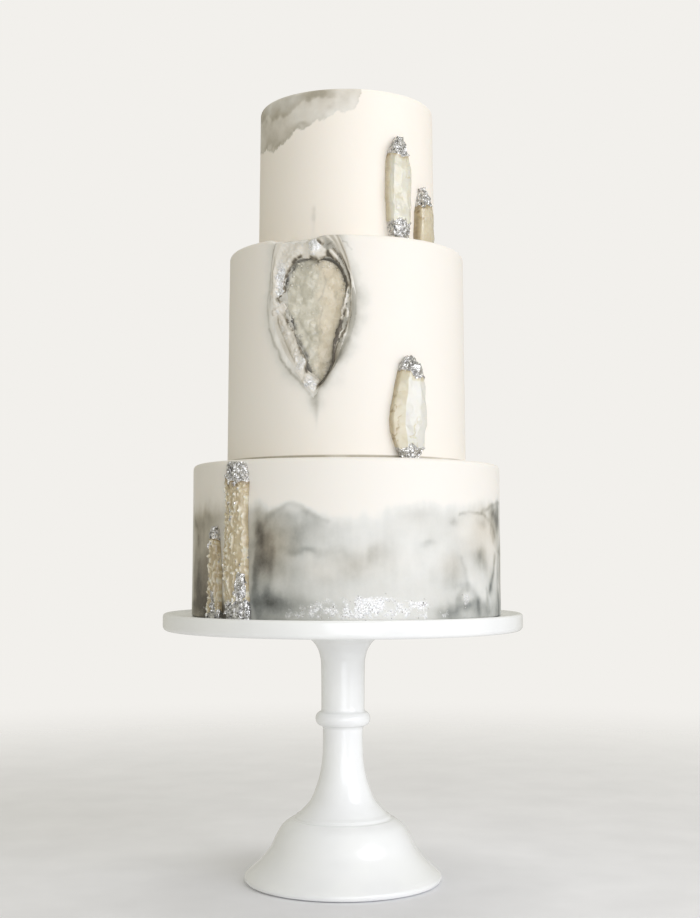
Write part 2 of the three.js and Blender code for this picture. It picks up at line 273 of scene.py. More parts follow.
def smooth_line(points, steps):
    """A smooth curve through the points, with that many steps between each two."""
    knots = np.array([points[0], *points, points[-1]], float)
    share = np.linspace(0, 1, steps, endpoint=False)[:, None]
    spans = []
    for a, b, c, d in zip(knots, knots[1:], knots[2:], knots[3:]):
        curve = 2 * b + (c - a) * share + (2 * a - 5 * b + 4 * c - d) * share**2
        spans.append((curve + (3 * b - a - 3 * c + d) * share**3) / 2)
    return np.concatenate([*spans, knots[-1:]])


def arc(centre, radius, start, end, steps):
    """Points of [radius, height] round an arc, from start to end degrees."""
    angle = np.radians(np.linspace(start, end, steps + 1))
    return np.stack([centre[0] + radius * np.cos(angle), centre[1] + radius * np.sin(angle)], 1)


print("noise", value_noise(np.array([[1.0, 2.0, 3.0]]), 10, 1).round(3))

# %% [markdown]
# ## Meshes from grids
# The stand, the tiers, the geode's rim and the shards are all sheets of points in rows and columns. One
# function makes the faces between the rows, one makes a Blender mesh of them, and one hangs the finished
# piece on the root and hides the solids that it stands for.


# %% Mesh helpers
def grid_faces(rows, columns, wrap_rows=False, wrap_columns=True):
    r, c = np.meshgrid(
        np.arange(rows if wrap_rows else rows - 1),
        np.arange(columns if wrap_columns else columns - 1),
        indexing="ij",
    )
    r_next, c_next = (r + 1) % rows, (c + 1) % columns
    corners = [r * columns + c, r * columns + c_next, r_next * columns + c_next, r_next * columns + c]
    return np.stack(corners, -1).reshape(-1, 4)


def capped_faces(rows, columns):
    """Faces of a closed tube whose last two vertices are the points that close its bottom and its top."""
    c = np.arange(columns)
    c_next = (c + 1) % columns
    bottom = np.full(columns, rows * columns)
    last = (rows - 1) * columns
    lower = np.stack([bottom, c_next, c], -1)
    upper = np.stack([bottom + 1, last + c, last + c_next], -1)
    return [*grid_faces(rows, columns).tolist(), *lower.tolist(), *upper.tolist()]


def write_on(mesh, **attributes):
    """Writes float attributes on a mesh's vertices, for its material to read."""
    for key, values in attributes.items():
        mesh.attributes.new(key, "FLOAT", "POINT").data.foreach_set("value", values.astype(np.float32))


def make_mesh(name, points, faces, materials, smooth=True, **attributes):
    """A new object from points in mm, with float attributes on its vertices."""
    mesh = bpy.data.meshes.new(name)
    mesh.from_pydata((np.asarray(points) * MM).tolist(), [], faces)
    for material in materials:
        mesh.materials.append(material)
    write_on(mesh, **attributes)
    mesh.polygons.foreach_set("use_smooth", np.full(len(mesh.polygons), smooth))
    mesh.update()
    piece = bpy.data.objects.new(name, mesh)
    bpy.context.scene.collection.objects.link(piece)
    return piece


def hand_over(piece, slot, *nodes):
    """Hangs a finished piece on the root and hides the solids that it stands for. slot, the name of its
    finish, is not used.
    """
    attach(piece, "root")
    if nodes:
        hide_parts(*nodes)
    piece.data.calc_loop_triangles()
    print(piece.name, len(piece.data.loop_triangles), "triangles")


def on_cylinder(azimuth, radius, z, offset=0.0):
    """Points round an upright axis. Azimuth 0 is the front, towards -Y, and +X is at 90 degrees."""
    return np.stack([offset + radius * np.sin(azimuth), -radius * np.cos(azimuth), z + 0 * azimuth], -1)


# %% [markdown]
# ## Finish: melamine
# The stand is melamine, a hard plastic moulded in one piece: bright white, and glossy like glazed china. It
# is told from china by a slightly softer gloss and by faint handling marks, so its roughness varies a little
# and a very shallow bump breaks its highlights.

# %% Melamine
MARK_WIDTH = 6  # mm, the width of the faint handling marks
PATCHES = 22.0  # patches of slightly different white in a metre, about 45 mm each
SWELLS = 60.0  # shallow swellings in a metre, about 17 mm each

melamine, tree, surface, place = new_material("moulded_melamine")
marks = add_node(tree, "ShaderNodeTexNoise", {"Vector": place, "Scale": 1 / (MARK_WIDTH * MM), "Detail": 5.0})
gloss = add_node(
    tree,
    "ShaderNodeMapRange",
    {"Value": marks.outputs["Fac"], "From Min": 0.3, "From Max": 0.7, "To Min": 0.14, "To Max": 0.24},
)
patches = add_node(tree, "ShaderNodeTexNoise", {"Vector": place, "Scale": PATCHES})
tone = add_node(
    tree, "ShaderNodeValToRGB", {"Fac": patches.outputs["Fac"]}, [(0.35, "F3F4F4"), (0.65, "F8F9F8")]
)
swell = add_node(tree, "ShaderNodeTexNoise", {"Vector": place, "Scale": SWELLS})
bump = add_node(tree, "ShaderNodeBump", {"Height": swell.outputs["Fac"], "Strength": 0.06, "Distance": MM})
feed(
    surface,
    {
        "Base Color": tone.outputs["Color"], "Roughness": gloss.outputs["Result"],
        "Normal": bump.outputs["Normal"], "IOR": 1.6, "Coat Weight": 0.25, "Coat Roughness": 0.08,
    },
)
print("material", melamine.name)

# %% [markdown]
# ## The stand
# A pedestal stand is turned from one profile: a bell foot with a small ledge, a trumpet that narrows into
# the stem, a bead, a short flare and a plate with a raised lip. A profile turned about an axis is Blender's
# Screw modifier or Spin tool. Here the rows are worked out directly, which closes both poles and keeps the
# profile the same as the solid's.

# %% Turn the stand
PLATE_RADIUS = 152.5  # a 12-inch plate
PLATE_UNDERSIDE = 210
PLATE_SURFACE = 222.4
LIP_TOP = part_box("cake_stand")[1].z / MM
STEM_RADIUS = 17
BEAD = (18.3, 135)  # where the bead leaves the stem, and its height
BEAD_SIZE = (5, 6)  # how far it stands out, and half its height
STAND_COLUMNS = 144


def stand_profile():
    bell = [[80.5, 7.4], [71, 15.8], [61.8, 26.8], [57, 36.7], [51, 46], [44.5, 50.9], [42, 51.8]]
    ledge = [[41.2, 52.1], [40.6, 52.7], [40.2, 53.8], [39.4, 54.6], [37.2, 55.6]]
    trumpet = [
        [37.2, 55.6], [27.7, 66], [22.6, 78], [19.3, 89], [17.5, 101], [STEM_RADIUS, 114],
        [STEM_RADIUS, 127.5],
    ]
    turn = np.radians(np.linspace(-84, 84, 17))
    bead = np.stack([BEAD[0] + BEAD_SIZE[0] * np.cos(turn), BEAD[1] + BEAD_SIZE[1] * np.sin(turn)], 1)
    flare = [[18.3, 143], [18.4, 165], [18.7, 181], [19.4, 187], [21.6, 194], [26.4, 200.5], [34, 206]]
    underside = [[34, 206], [46, 209.2], [60, 209.9], [100, PLATE_UNDERSIDE], [148.5, PLATE_UNDERSIDE]]
    return np.concatenate([
        [[0.5, 2.5], [67, 2.5], [68.3, 2.2], [69.4, 0.8], [70.2, 0], [79.4, 0]],
        arc((80, 3.4), 3.2, -62, 60, 8),
        smooth_line(bell, 6),
        ledge[:-1],
        smooth_line(trumpet, 6),
        bead,
        smooth_line(flare, 5)[:-1],
        smooth_line(underside, 6),
        arc((PLATE_RADIUS - 4, PLATE_UNDERSIDE + 4), 4, -80, 0, 6),
        arc((PLATE_RADIUS - 2.6, LIP_TOP - 2.6), 2.6, 0, 90, 7),
        smooth_line([[148, LIP_TOP - 0.4], [145.2, PLATE_SURFACE + 0.5], [142, PLATE_SURFACE]], 4),
        [[120, PLATE_SURFACE], [60, PLATE_SURFACE], [0.5, PLATE_SURFACE]],
    ])


def turned(profile, azimuths):
    """Rows of points for a profile of [radius, height], and the two points that close it on the axis."""
    rows = [on_cylinder(azimuths, radius, z) for radius, z in profile]
    return np.concatenate([*rows, [[0, 0, profile[0][1]], [0, 0, profile[-1][1]]]])


def all_round(columns):
    """Azimuths in equal steps round the axis."""
    return np.linspace(0, 2 * np.pi, columns, endpoint=False)


profile = stand_profile()
stand_faces = capped_faces(len(profile), STAND_COLUMNS)
stand = make_mesh("stand", turned(profile, all_round(STAND_COLUMNS)), stand_faces, [melamine])
hand_over(stand, "melamine", "cake_stand")

# %% [markdown]
# ## Finish: sugarpaste, washes and leaf
# Sugarpaste is a dough of icing sugar rolled thin and smoothed over the cake. It is warm white and satin,
# and light sinks a millimetre or two into it. Food colour thinned with alcohol is washed over it like
# watercolour, and torn silver leaf is pressed on while it is damp. All of that is one material here. Four
# numbers painted on each vertex say how strong the wash is, how far it leans to taupe, where there is leaf
# and how warm the bare paste is, because all these have set places on the cake. The wash number also
# carries painted shade: on the left side of the bottom tier, in the joint under the middle tier and round
# the geode's hollow. The nodes add the grain that is finer than the mesh.

# %% Painted sugarpaste
GRAIN_WIDTH = 2.2  # mm, the granulation of colour as it dries
SWELL_WIDTH = 14  # mm, the faint hollows that the smoothing tool leaves
LEAF_CRINKLE = 1.3  # mm, the creases of silver leaf
GRANULATION = 0.22  # how much the grain darkens and lightens a wash
COVERING = 0.12  # the strength from which a wash hides the paste
LEAF_METAL = 0.25  # low, because bare metal would mirror the empty studio and go dark
LEAF_ROUGHNESS = 0.3

BLUE_GREY = [  # strength of the wash, and its colour
    (0.0, "F0EEE9"), (0.15, "E4E4E0"), (0.3, "CFD0CC"), (0.5, "B1B3AF"), (0.75, "828684"), (1.0, "555855"),
]
TAUPE = [
    (0.0, "F4EEE5"), (0.15, "E6E1D7"), (0.3, "D2CCC0"), (0.5, "B6AF9F"), (0.75, "8B8374"), (1.0, "5C554A"),
]

sugarpaste, tree, surface, place = new_material("sugarpaste_washed_and_leafed")
wash, leaf, umber, ivory = (
    add_node(tree, "ShaderNodeAttribute", attribute_name=name).outputs["Fac"]
    for name in ("wash", "leaf", "umber", "ivory")
)
grain = add_node(
    tree,
    "ShaderNodeTexNoise",
    {"Vector": place, "Scale": 1 / (GRAIN_WIDTH * MM), "Detail": 4.0, "Roughness": 0.65},
)
centred = add_node(tree, "ShaderNodeMath", {0: grain.outputs["Fac"], 1: 0.5}, operation="SUBTRACT")
speckle = add_node(tree, "ShaderNodeMath", {0: centred.outputs[0], 1: wash}, operation="MULTIPLY")
strength = add_node(
    tree, "ShaderNodeMath", {0: speckle.outputs[0], 1: GRANULATION, 2: wash}, operation="MULTIPLY_ADD"
)
blue_grey = add_node(tree, "ShaderNodeValToRGB", {"Fac": strength.outputs[0]}, BLUE_GREY)
taupe = add_node(tree, "ShaderNodeValToRGB", {"Fac": strength.outputs[0]}, TAUPE)
pigment = add_node(
    tree,
    "ShaderNodeMix",
    {SHARE: umber, COLOUR_A: blue_grey.outputs["Color"], COLOUR_B: taupe.outputs["Color"]},
    data_type="RGBA",
)
paste = add_node(
    tree,
    "ShaderNodeMix",
    {SHARE: ivory, COLOUR_A: linear("F2EEE7"), COLOUR_B: linear("F8F1E7")},
    data_type="RGBA",
)
covered = add_node(
    tree, "ShaderNodeMapRange", {"Value": strength.outputs[0], "From Min": 0.0, "From Max": COVERING}
)
colour = add_node(
    tree,
    "ShaderNodeMix",
    {SHARE: covered.outputs[0], COLOUR_A: paste.outputs[MIXED], COLOUR_B: pigment.outputs[MIXED]},
    data_type="RGBA",
)
crinkle = add_node(
    tree, "ShaderNodeTexVoronoi", {"Vector": place, "Scale": 1 / (LEAF_CRINKLE * MM)}, feature="F1"
)
torn = add_node(tree, "ShaderNodeMath", {0: centred.outputs[0], 1: leaf}, operation="ADD")
is_leaf = add_node(tree, "ShaderNodeMapRange", {"Value": torn.outputs[0], "From Min": 0.38, "From Max": 0.72})
# painted reflection: the leaf's near-white tone stands in for the bright light it would mirror, since its
# metal is kept low
leaf_tone = add_node(
    tree, "ShaderNodeValToRGB", {"Fac": crinkle.outputs["Distance"]}, [(0.2, "FBFBFB"), (0.8, "CECECE")]
)
skin = add_node(
    tree,
    "ShaderNodeMix",
    {SHARE: is_leaf.outputs[0], COLOUR_A: colour.outputs[MIXED], COLOUR_B: leaf_tone.outputs["Color"]},
    data_type="RGBA",
)
metal = add_node(tree, "ShaderNodeMath", {0: is_leaf.outputs[0], 1: LEAF_METAL}, operation="MULTIPLY")
satin = add_node(
    tree,
    "ShaderNodeMapRange",
    {"Value": grain.outputs["Fac"], "From Min": 0.3, "From Max": 0.7, "To Min": 0.5, "To Max": 0.62},
)
gloss = add_node(
    tree, "ShaderNodeMix", {0: is_leaf.outputs[0], 2: satin.outputs[0], 3: LEAF_ROUGHNESS}, data_type="FLOAT"
)
swell = add_node(tree, "ShaderNodeTexNoise", {"Vector": place, "Scale": 1 / (SWELL_WIDTH * MM)})
soft_bump = add_node(
    tree, "ShaderNodeBump", {"Height": swell.outputs["Fac"], "Strength": 0.12, "Distance": 1.2 * MM}
)
leaf_height = add_node(
    tree, "ShaderNodeMath", {0: crinkle.outputs["Distance"], 1: is_leaf.outputs[0]}, operation="MULTIPLY"
)
leaf_bump = add_node(
    tree,
    "ShaderNodeBump",
    {"Height": leaf_height.outputs[0], "Normal": soft_bump.outputs["Normal"], "Distance": 0.3 * MM},
)
feed(
    surface,
    {
        "Base Color": skin.outputs[MIXED], "Metallic": metal.outputs[0], "Roughness": gloss.outputs[0],
        "Normal": leaf_bump.outputs["Normal"], "Subsurface Weight": 0.12,
        "Subsurface Radius": (1.0, 0.8, 0.6), "Subsurface Scale": 2 * MM,
    },
)
print("material", sugarpaste.name)

# %% [markdown]
# ## Where the bottom tier is washed
# The wash starts about two fifths of the way down in pale, ragged clouds and gathers at the foot. On the
# left of the front there is a dark arch where a pool of colour dried with a hard edge, and on the right a
# few brush lines. The places are written on the unrolled wall, as [arc from the front, height]. The noise
# bends them and breaks them up, so no cloud is a plain ellipse. The back has pools of the same kind.

# %% Wash of the bottom tier
CAKE_OFFSET = 3  # mm, the cake stands this far to the right of the stand's axis
BOTTOM_RADIUS = 131

WASH_TOP = [  # arc, height where the wash begins
    (-420, 314), (-300, 308), (-200, 316), (-150, 318), (-84, 320), (-60, 319), (-44, 317), (-12, 312),
    (20, 314), (50, 319), (88, 321), (140, 321), (176, 325), (250, 312), (330, 318), (420, 314),
]
BOTTOM_CLOUDS = [  # centre, half size, darkness
    ((-72, 284), (7, 24), 0.24), ((-72, 256), (6, 18), 0.12), ((-64, 274), (8, 28), 0.2),
    ((-62, 298), (10, 9), 0.18), ((-50, 294), (14, 11), 0.18), ((-46, 309), (9, 5), 0.16),
    ((-40, 287), (10, 8), 0.18),
    ((-34, 278), (17, 5), 0.3), ((-25, 279), (4.5, 2.4), 0.24), ((-55, 268), (9, 14), 0.14),
    ((-44, 262), (13, 13), 0.1), ((-18, 260), (20, 12), 0.05), ((-36, 300), (13, 8), 0.1),
    ((-12, 290), (15, 16), 0.08),
    ((-69, 236), (14, 10), 0.34), ((-46, 234), (16, 9), 0.3), ((-22, 233), (13, 7), 0.1),
    ((-4, 231), (12, 5), 0.06), ((25, 271), (12, 9), 0.2), ((6, 267), (18, 12), 0.17),
    ((-2, 277), (5, 7), 0.12),
    ((44, 272), (14, 10), 0.06), ((64, 281), (4.5, 2.8), 0.16), ((90, 257), (14, 12), 0.2),
    ((56, 294), (22, 8), -0.04), ((106, 290), (13, 8), -0.06), ((93, 300), (5, 3.5), 0.14),
    ((156, 307), (8, 6), 0.4), ((170, 303), (9, 12), 0.5), ((134, 299), (9, 5), 0.14),
    ((156, 290), (8, 7), 0.18), ((127, 269), (9, 7), 0.3), ((126, 264), (4, 6), 0.14),
    ((134, 261), (6, 8), 0.16), ((146, 248), (8, 15), 0.22), ((113, 233), (13, 8), 0.4),
    ((90, 230), (14, 5), 0.22), ((104, 246), (12, 3), 0.14), ((107, 238), (6, 4), -0.24),
    ((134, 229), (9, 6), 0.22), ((160, 236), (12, 16), 0.26),
    ((-87, 284), (7, 36), 0.16), ((-142, 300), (22, 14), 0.19), ((-150, 270), (18, 26), 0.24),
    ((-154, 245), (18, 22), 0.46), ((-167, 257), (9, 30), 0.2), ((-130, 262), (10, 36), 0.24),
    ((-122, 236), (12, 12), 0.22), ((-70, 277), (12, 20), 0.13), ((-84, 258), (8, 24), 0.1),
    ((-139, 231), (9, 14), 0.2),
    ((-205, 262), (18, 30), 0.2), ((-262, 270), (30, 18), 0.22), ((-330, 262), (26, 28), 0.28),
    ((-380, 240), (40, 14), 0.3), ((174, 250), (10, 40), 0.18), ((225, 268), (22, 26), 0.24),
    ((290, 275), (30, 14), 0.18), ((355, 262), (26, 26), 0.28), ((250, 236), (50, 10), 0.26),
    ((-260, 236), (46, 10), 0.26),
]
BOTTOM_POOLS = [  # centre, half size, darkness, the arcs between which it fades away
    ((-43, 256), (36, 58), 0.24, (-48, 0)),
    ((182, 296), (36, 22), 0.12, (200, 240)),
    ((215, 262), (40, 46), 0.22, (190, 245)),
    ((-230, 262), (44, 46), 0.24, (-240, -200)),
    ((330, 258), (38, 52), 0.26, (318, 356)),
    ((-350, 262), (36, 48), 0.22, (-350, -318)),
]
BOTTOM_STROKES = [  # brush line, half width, darkness
    (
        [
            (-76, 246), (-77, 280), (-74, 293), (-69, 300), (-61, 306), (-53, 310), (-45, 313), (-36, 313),
            (-29, 308),
        ],
        2.4, 0.14,
    ),
    ([(-31, 308), (-24, 303), (-14, 299)], 2.0, 0.14),
    ([(-80, 232), (-79, 278), (-73, 297)], 4.5, 0.12),
    ([(-71, 300), (-73, 282), (-73, 262)], 4.4, 0.18),
    ([(-62, 268), (-61, 254), (-63, 242)], 2.2, 0.13),
    ([(98, 304), (108, 305), (122, 305), (136, 304)], 1.3, 0.26),
    ([(128, 306), (138, 311), (148, 315), (164, 317), (178, 316)], 2.0, 0.26),
    ([(136, 304), (146, 301), (153, 296), (158, 288)], 2.4, 0.22),
    ([(159, 273), (156, 262), (150, 251), (147, 244)], 3.4, 0.3),
    ([(170, 276), (168, 252), (172, 226)], 4.0, 0.34),
    ([(101, 270), (105, 262), (108, 247)], 2.2, 0.14),
    ([(96, 241), (102, 246), (110, 249), (118, 244), (123, 237), (126, 226)], 3.0, 0.22),
    ([(138, 246), (141, 236), (143, 226)], 2.6, 0.14),
    ([(-176, 312), (-168, 300), (-160, 296), (-156, 280)], 3.0, 0.2),
    ([(-142, 306), (-126, 300), (-112, 305)], 4.0, 0.1),
]
BOTTOM_FOOT = [  # arc, how much darker the wash is along the foot
    (-420, 0.2), (-180, 0.24), (-160, 0.4), (-118, 0.5), (-90, 0.34), (-70, 0.18), (-44, 0.07),
    (-24, 0.05), (-4, 0), (62, 0.02), (88, 0.18), (124, 0.26), (150, 0.2), (190, 0.16), (420, 0.2),
]
FOOT_HEIGHTS = (241, 231)  # between these the wash along the foot sets in
LEAF_PLACES = [  # centre, half size, how much silver
    ((20, 234), (16, 8), 0.8), ((30, 239), (8, 5), 0.4), ((6, 231), (16, 8), 0.56),
    ((-18, 234), (20, 9), 0.54), ((-40, 230), (14, 6), 0.34), ((54, 233), (13, 7), 0.8),
    ((65, 238), (6, 5), 0.3), ((108, 238), (8, 5), 0.62), ((84, 229), (10, 5), 0.26),
    ((40, 227), (60, 4), 0.4), ((215, 232), (24, 9), 0.62), ((300, 231), (30, 8), 0.56),
    ((-230, 231), (24, 9), 0.62), ((-330, 232), (30, 9), 0.56), ((-150, 229), (16, 6), 0.4),
]
UMBER_PLACES = [  # where the wash is taupe rather than blue grey: centre, half size, share
    ((-64, 280), (24, 30), 0.95), ((10, 268), (40, 16), 0.5), ((-18, 262), (24, 14), 0.4),
    ((90, 262), (22, 14), 0.5), ((136, 290), (40, 28), 0.95), ((-150, 270), (50, 44), 0.9),
    ((230, 270), (60, 30), 0.7), ((-330, 270), (60, 30), 0.7),
]


print("wash", len(BOTTOM_CLOUDS), "clouds,", len(BOTTOM_POOLS), "pools,", len(BOTTOM_STROKES), "brush lines")


# %% Paint the bottom tier's wash and leaf
def bent(points, s, z, wide, fine, seed):
    """The unrolled place of each point, moved by large and small noise so that washes run unevenly.

    wide and fine are the size of the noise and how far it moves a point, both in mm.
    """
    moved_s = s + wide[1] * cloud_noise(points, wide[0], seed, 3)
    moved_z = z + wide[1] * cloud_noise(points, wide[0], seed + 10, 3)
    moved_s = moved_s + fine[1] * cloud_noise(points, fine[0], seed + 2, 3)
    return moved_s, moved_z + fine[1] * cloud_noise(points, fine[0], seed + 12, 3)


def bottom_wash_and_shade(points, s, z):
    """How strong the wash and the painted shade on the left side are, and how far they lean from blue grey to
    taupe.
    """
    loose_s, loose_z = bent(points, s, z, (34, 5), (9, 1.6), 3)
    firm_s, firm_z = bent(points, s, z, (26, 2.2), (8, 1.0), 7)
    clouds = cloud_noise(points * [1, 1, 1.3], 34, 31)
    fine = cloud_noise(points, 10, 33, 2)
    drips = cloud_noise(points * [1, 1, 0.22], 6, 41, 3)
    edge = np.interp(s, *zip(*WASH_TOP)) + 2.5 * cloud_noise(points * [1, 1, 0], 40, 21, 3)
    body = np.clip(0.2 + 0.07 * clouds + 0.02 * drips, 0.06, 1)
    wash = smooth_step(0, 17, edge - loose_z + 2 * drips) * body
    # painted shade: the left side of the wall, turned away from the light, is darkened all the way up
    wash += 0.1 * smooth_step(-92, -128, s) * smooth_step(-190, -160, s)  # the left side is darker
    foot = np.interp(s, *zip(*BOTTOM_FOOT)) * smooth_step(*FOOT_HEIGHTS, loose_z)
    wash += foot * (1 + 0.5 * clouds + 0.3 * fine)
    wash += puffs(loose_s, loose_z, BOTTOM_CLOUDS) * (1 + 0.3 * clouds + 0.16 * fine + 0.2 * drips)
    for centre, size, dark, (full, gone) in BOTTOM_POOLS:  # a pool is darkest just inside its edge
        out = np.hypot((firm_s - centre[0]) / size[0], (firm_z - centre[1]) / size[1])
        held = (1 - smooth_step(0.94, 1.06, out)) * (1 - smooth_step(0, 1, (s - full) / (gone - full)))
        wash += dark * held * (0.3 + 0.7 * np.clip(out, 0, 1) ** 4) * (1 + 0.3 * clouds)
    for line, width, dark in BOTTOM_STROKES:
        wash += dark * brushed(firm_s, firm_z, line, width) * (0.8 + 0.5 * fine)
    # the painted shade on the left side leans to taupe, as the shade there is warm
    warm = 0.12 + 0.1 * clouds + 0.8 * smooth_step(-86, -120, s) * smooth_step(-200, -160, s)
    for centre, size, share in UMBER_PLACES:
        warm = np.maximum(warm, share * puff(loose_s, loose_z, centre, size))
    return np.clip(wash, 0, 1), np.clip(warm, 0, 1)


def bottom_leaf(points, s, z):
    """How much silver leaf there is: along the foot, thickest on the front."""
    loose_s, loose_z = bent(points, s, z, (16, 3), (4, 1.2), 61)
    broken = 0.82 + 0.62 * cloud_noise(points, 5, 71, 3)
    return np.clip(puffs(loose_s, loose_z, LEAF_PLACES) * broken, 0, 0.8)


print("leaf", len(LEAF_PLACES), "places")

# %% [markdown]
# ## The tiers
# Each tier is a profile turned about its axis: a small easing at the base, a wall that draws in by a
# millimetre, a rounded shoulder and a flat top. Its radius swells and dips by a few tenths of a millimetre,
# as hand-smoothed icing does. The mesh is fine enough to carry the painted washes.

# %% Build the bottom tier
TIER_WALLS = {  # mm, radius of the icing at the base and at the top
    "top_tier": (75.8, 74.5), "middle_tier": (102, 100.6), "bottom_tier": (131.2, 130.4),
}
SHOULDER = 4  # mm, rounding of the top edge
BASE_EASE = 1.2  # mm, rounding at the bottom edge


def tier_span(tier):
    """Heights of a tier's base and top, in mm."""
    return [corner.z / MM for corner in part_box(tier)]


def wall_rows(tier, step):
    """Heights of the rows of points on a plain wall, that many mm apart."""
    base, top = tier_span(tier)
    return np.arange(base + 2.2, top - SHOULDER - 0.5, step)


def tier_profile(tier, wall_heights):
    """Rows of [radius, height] from the middle of the base, up the wall and over the top."""
    radius, top_radius = TIER_WALLS[tier]
    base, top = tier_span(tier)
    wall = np.array([[radius + (top_radius - radius) * (z - base) / (top - base), z] for z in wall_heights])
    return np.concatenate([
        [[2, base], [radius - 8, base]],
        arc((radius - BASE_EASE, base + BASE_EASE), BASE_EASE, -90, 0, 3),
        wall,
        arc((top_radius - SHOULDER, top - SHOULDER), SHOULDER, 0, 90, 8),
        [[r, top] for r in np.linspace(top_radius - SHOULDER - 2, 2, 14)],
    ])


def uneven(points, seed):
    """How far hand-smoothed icing swells, in mm."""
    return 0.3 * value_noise(points, 70, seed) + 0.12 * value_noise(points, 24, seed + 1)


def build_tier(name, profile, azimuths, seed, paint, dig=None):
    """A tier's mesh. dig gives the carved radius and height, and paint the painted attributes."""
    points = turned(profile, azimuths)
    azimuth = np.arctan2(points[:, 0], -points[:, 1])
    radius = np.hypot(points[:, 0], points[:, 1])
    radius = radius + uneven(points, seed) * np.clip(radius / 20 - 1, 0, 1)
    z = points[:, 2].copy()
    if dig:
        radius, z = dig(azimuth, z, radius)
    painted = paint(points, azimuth, z, radius)
    moved = on_cylinder(azimuth, radius, z, CAKE_OFFSET)
    return make_mesh(name, moved, capped_faces(len(profile), len(azimuths)), [sugarpaste], **painted)


def paint_bottom(points, azimuth, z, radius):
    s = azimuth * BOTTOM_RADIUS
    on_wall = smooth_step(BOTTOM_RADIUS - 20, BOTTOM_RADIUS - 8, radius)
    wash, umber = bottom_wash_and_shade(points, s, z)
    return {"wash": wash * on_wall, "umber": umber, "leaf": bottom_leaf(points, s, z) * on_wall}


profile = tier_profile("bottom_tier", wall_rows("bottom_tier", 1.25))
bottom = build_tier("bottom_tier_iced", profile, all_round(640), 101, paint_bottom)
hand_over(bottom, "sugarpaste", "bottom_tier")

# %% [markdown]
# ## The top tier
# The wash on the top tier is a torn-edged patch that hangs from the top edge. It runs from just right of
# the front round to the back of the left side. Where it ran thick, along the top edge and at its lower left
# corner, it dried darker, and everywhere a thin dark line marks its edge.

# %% Build the top tier
TOP_RADIUS = 75
DRIED_EDGE = 2.2  # mm, the thin dark line where the wash dried along its edge
TOP_THICK = [  # where the wash ran thick at its lower left corner: centre, half size, darkness
    ((-74, 621), (15, 6), 0.22), ((-40, 627), (9, 3), 0.26),
]
TOP_SMUDGE = ((-27, 549), (2.2, 12))  # a faint upright smudge near the base
TOP_WASH_EDGE = [  # azimuth in degrees, height of the wash's lower edge
    (-180, 664), (-150, 642), (-120, 624), (-95, 626), (-79, 615), (-62, 614), (-52, 612), (-43, 615),
    (-38, 620), (-33, 625), (-26, 624), (-22, 627), (-13, 631), (-7, 634), (-1, 636), (4, 639), (7, 643),
    (9, 650), (11, 664), (180, 664),
]


def paint_top(points, azimuth, z, radius):
    s = azimuth * TOP_RADIUS
    degrees = np.degrees(azimuth)
    clouds = cloud_noise(points, 22, 81)
    fine = cloud_noise(points, 6, 91, 3)
    edge = np.interp(degrees, *zip(*TOP_WASH_EDGE)) + 2.2 * fine + 1.2 * cloud_noise(points, 2.6, 95, 2)
    height = z - edge
    wash = 0.21 + 0.1 * clouds + 0.05 * fine
    wash += 0.2 * np.exp(-((height / DRIED_EDGE) ** 2)) * (0.7 + 0.8 * clouds)
    band = z + 2.5 * fine + 9 * smooth_step(-26, -44, degrees) - 5 * smooth_step(-56, -66, degrees)
    wash += (0.2 + 0.1 * clouds) * smooth_step(646.5, 650.5, band) * (1 - smooth_step(-20, 2, degrees))
    wash += 0.1 * smooth_step(72, 86, -degrees)
    wash += puffs(s + 3 * fine, z + 3 * fine, TOP_THICK)
    lap = smooth_step(TOP_RADIUS - 14, TOP_RADIUS - 7, radius + 5 * fine)
    smudge = 0.2 * puff(s, z, *TOP_SMUDGE) * (0.8 + 0.6 * fine)
    wash = np.clip(wash * smooth_step(0, 1.6, height) * lap + smudge, 0, 1)
    return {"wash": wash, "umber": np.clip(0.95 + 0.3 * clouds, 0, 1), "ivory": np.ones(len(z))}


profile = tier_profile("top_tier", wall_rows("top_tier", 1.1))
top = build_tier("top_tier_iced", profile, all_round(430), 111, paint_top)
hand_over(top, "sugarpaste", "top_tier")

# %% [markdown]
# ## The geode's outlines
# The geode was carved as a pointed shield. Two outlines drive everything about it: the outer one, where the
# icing starts to slope in, and the inner one, the brim of the hollow. They are smooth curves through a few
# points on the unrolled wall, up the left side and up the right side.

# %% Outlines and depth of the geode
GEODE_RADIUS = 101
BRIM_DEPTH = 4.5  # mm under the wall's surface
OUTER_LEFT = [[-26, 398], [-54, 429], [-66, 456], [-67, 490], [-58, 532], [-24, 566]]
OUTER_RIGHT = [[-26, 398], [-9, 423], [4, 448], [8, 476], [-1, 517], [-24, 566]]
INNER_LEFT = [[-24.5, 407], [-36, 430], [-50, 459], [-57, 484], [-54, 498], [-45, 508], [-24, 511]]
INNER_RIGHT = [[-24.5, 407], [-11, 426], [-5, 455], [0, 482], [-2, 496], [-10, 507], [-24, 511]]
SIDE_STEPS = 36  # points along each side of an outline
EDGE_CUT = 3.6  # mm by which the carving has lowered the tier's top edge
CARVED_DEPTHS = ([0, 0.8, 2.2, 11, 28], [0, 3.4, 5.7, 11, 13.6])  # mm in from the brim, and down from it
TIER_BASE, TIER_TOP = tier_span("middle_tier")


def lowered(s):
    """How far the top edge is lowered over the left half of the geode."""
    return EDGE_CUT * smooth_step(-70, -61, s) * (1 - smooth_step(-34, -16, s))


def even_steps(points, count):
    """The same line in equal steps."""
    line = smooth_line(points, 24)
    along = np.concatenate([[0], np.cumsum(np.hypot(*np.diff(line, axis=0).T))])
    place = np.linspace(0, along[-1], count + 1)
    return np.stack([np.interp(place, along, line[:, i]) for i in (0, 1)], 1)


def loop_of(left, right, count):
    """A closed outline: up the left side from the lower tip and down the right side."""
    return np.concatenate([even_steps(left, count)[:-1], even_steps(right, count)[::-1][:-1]])


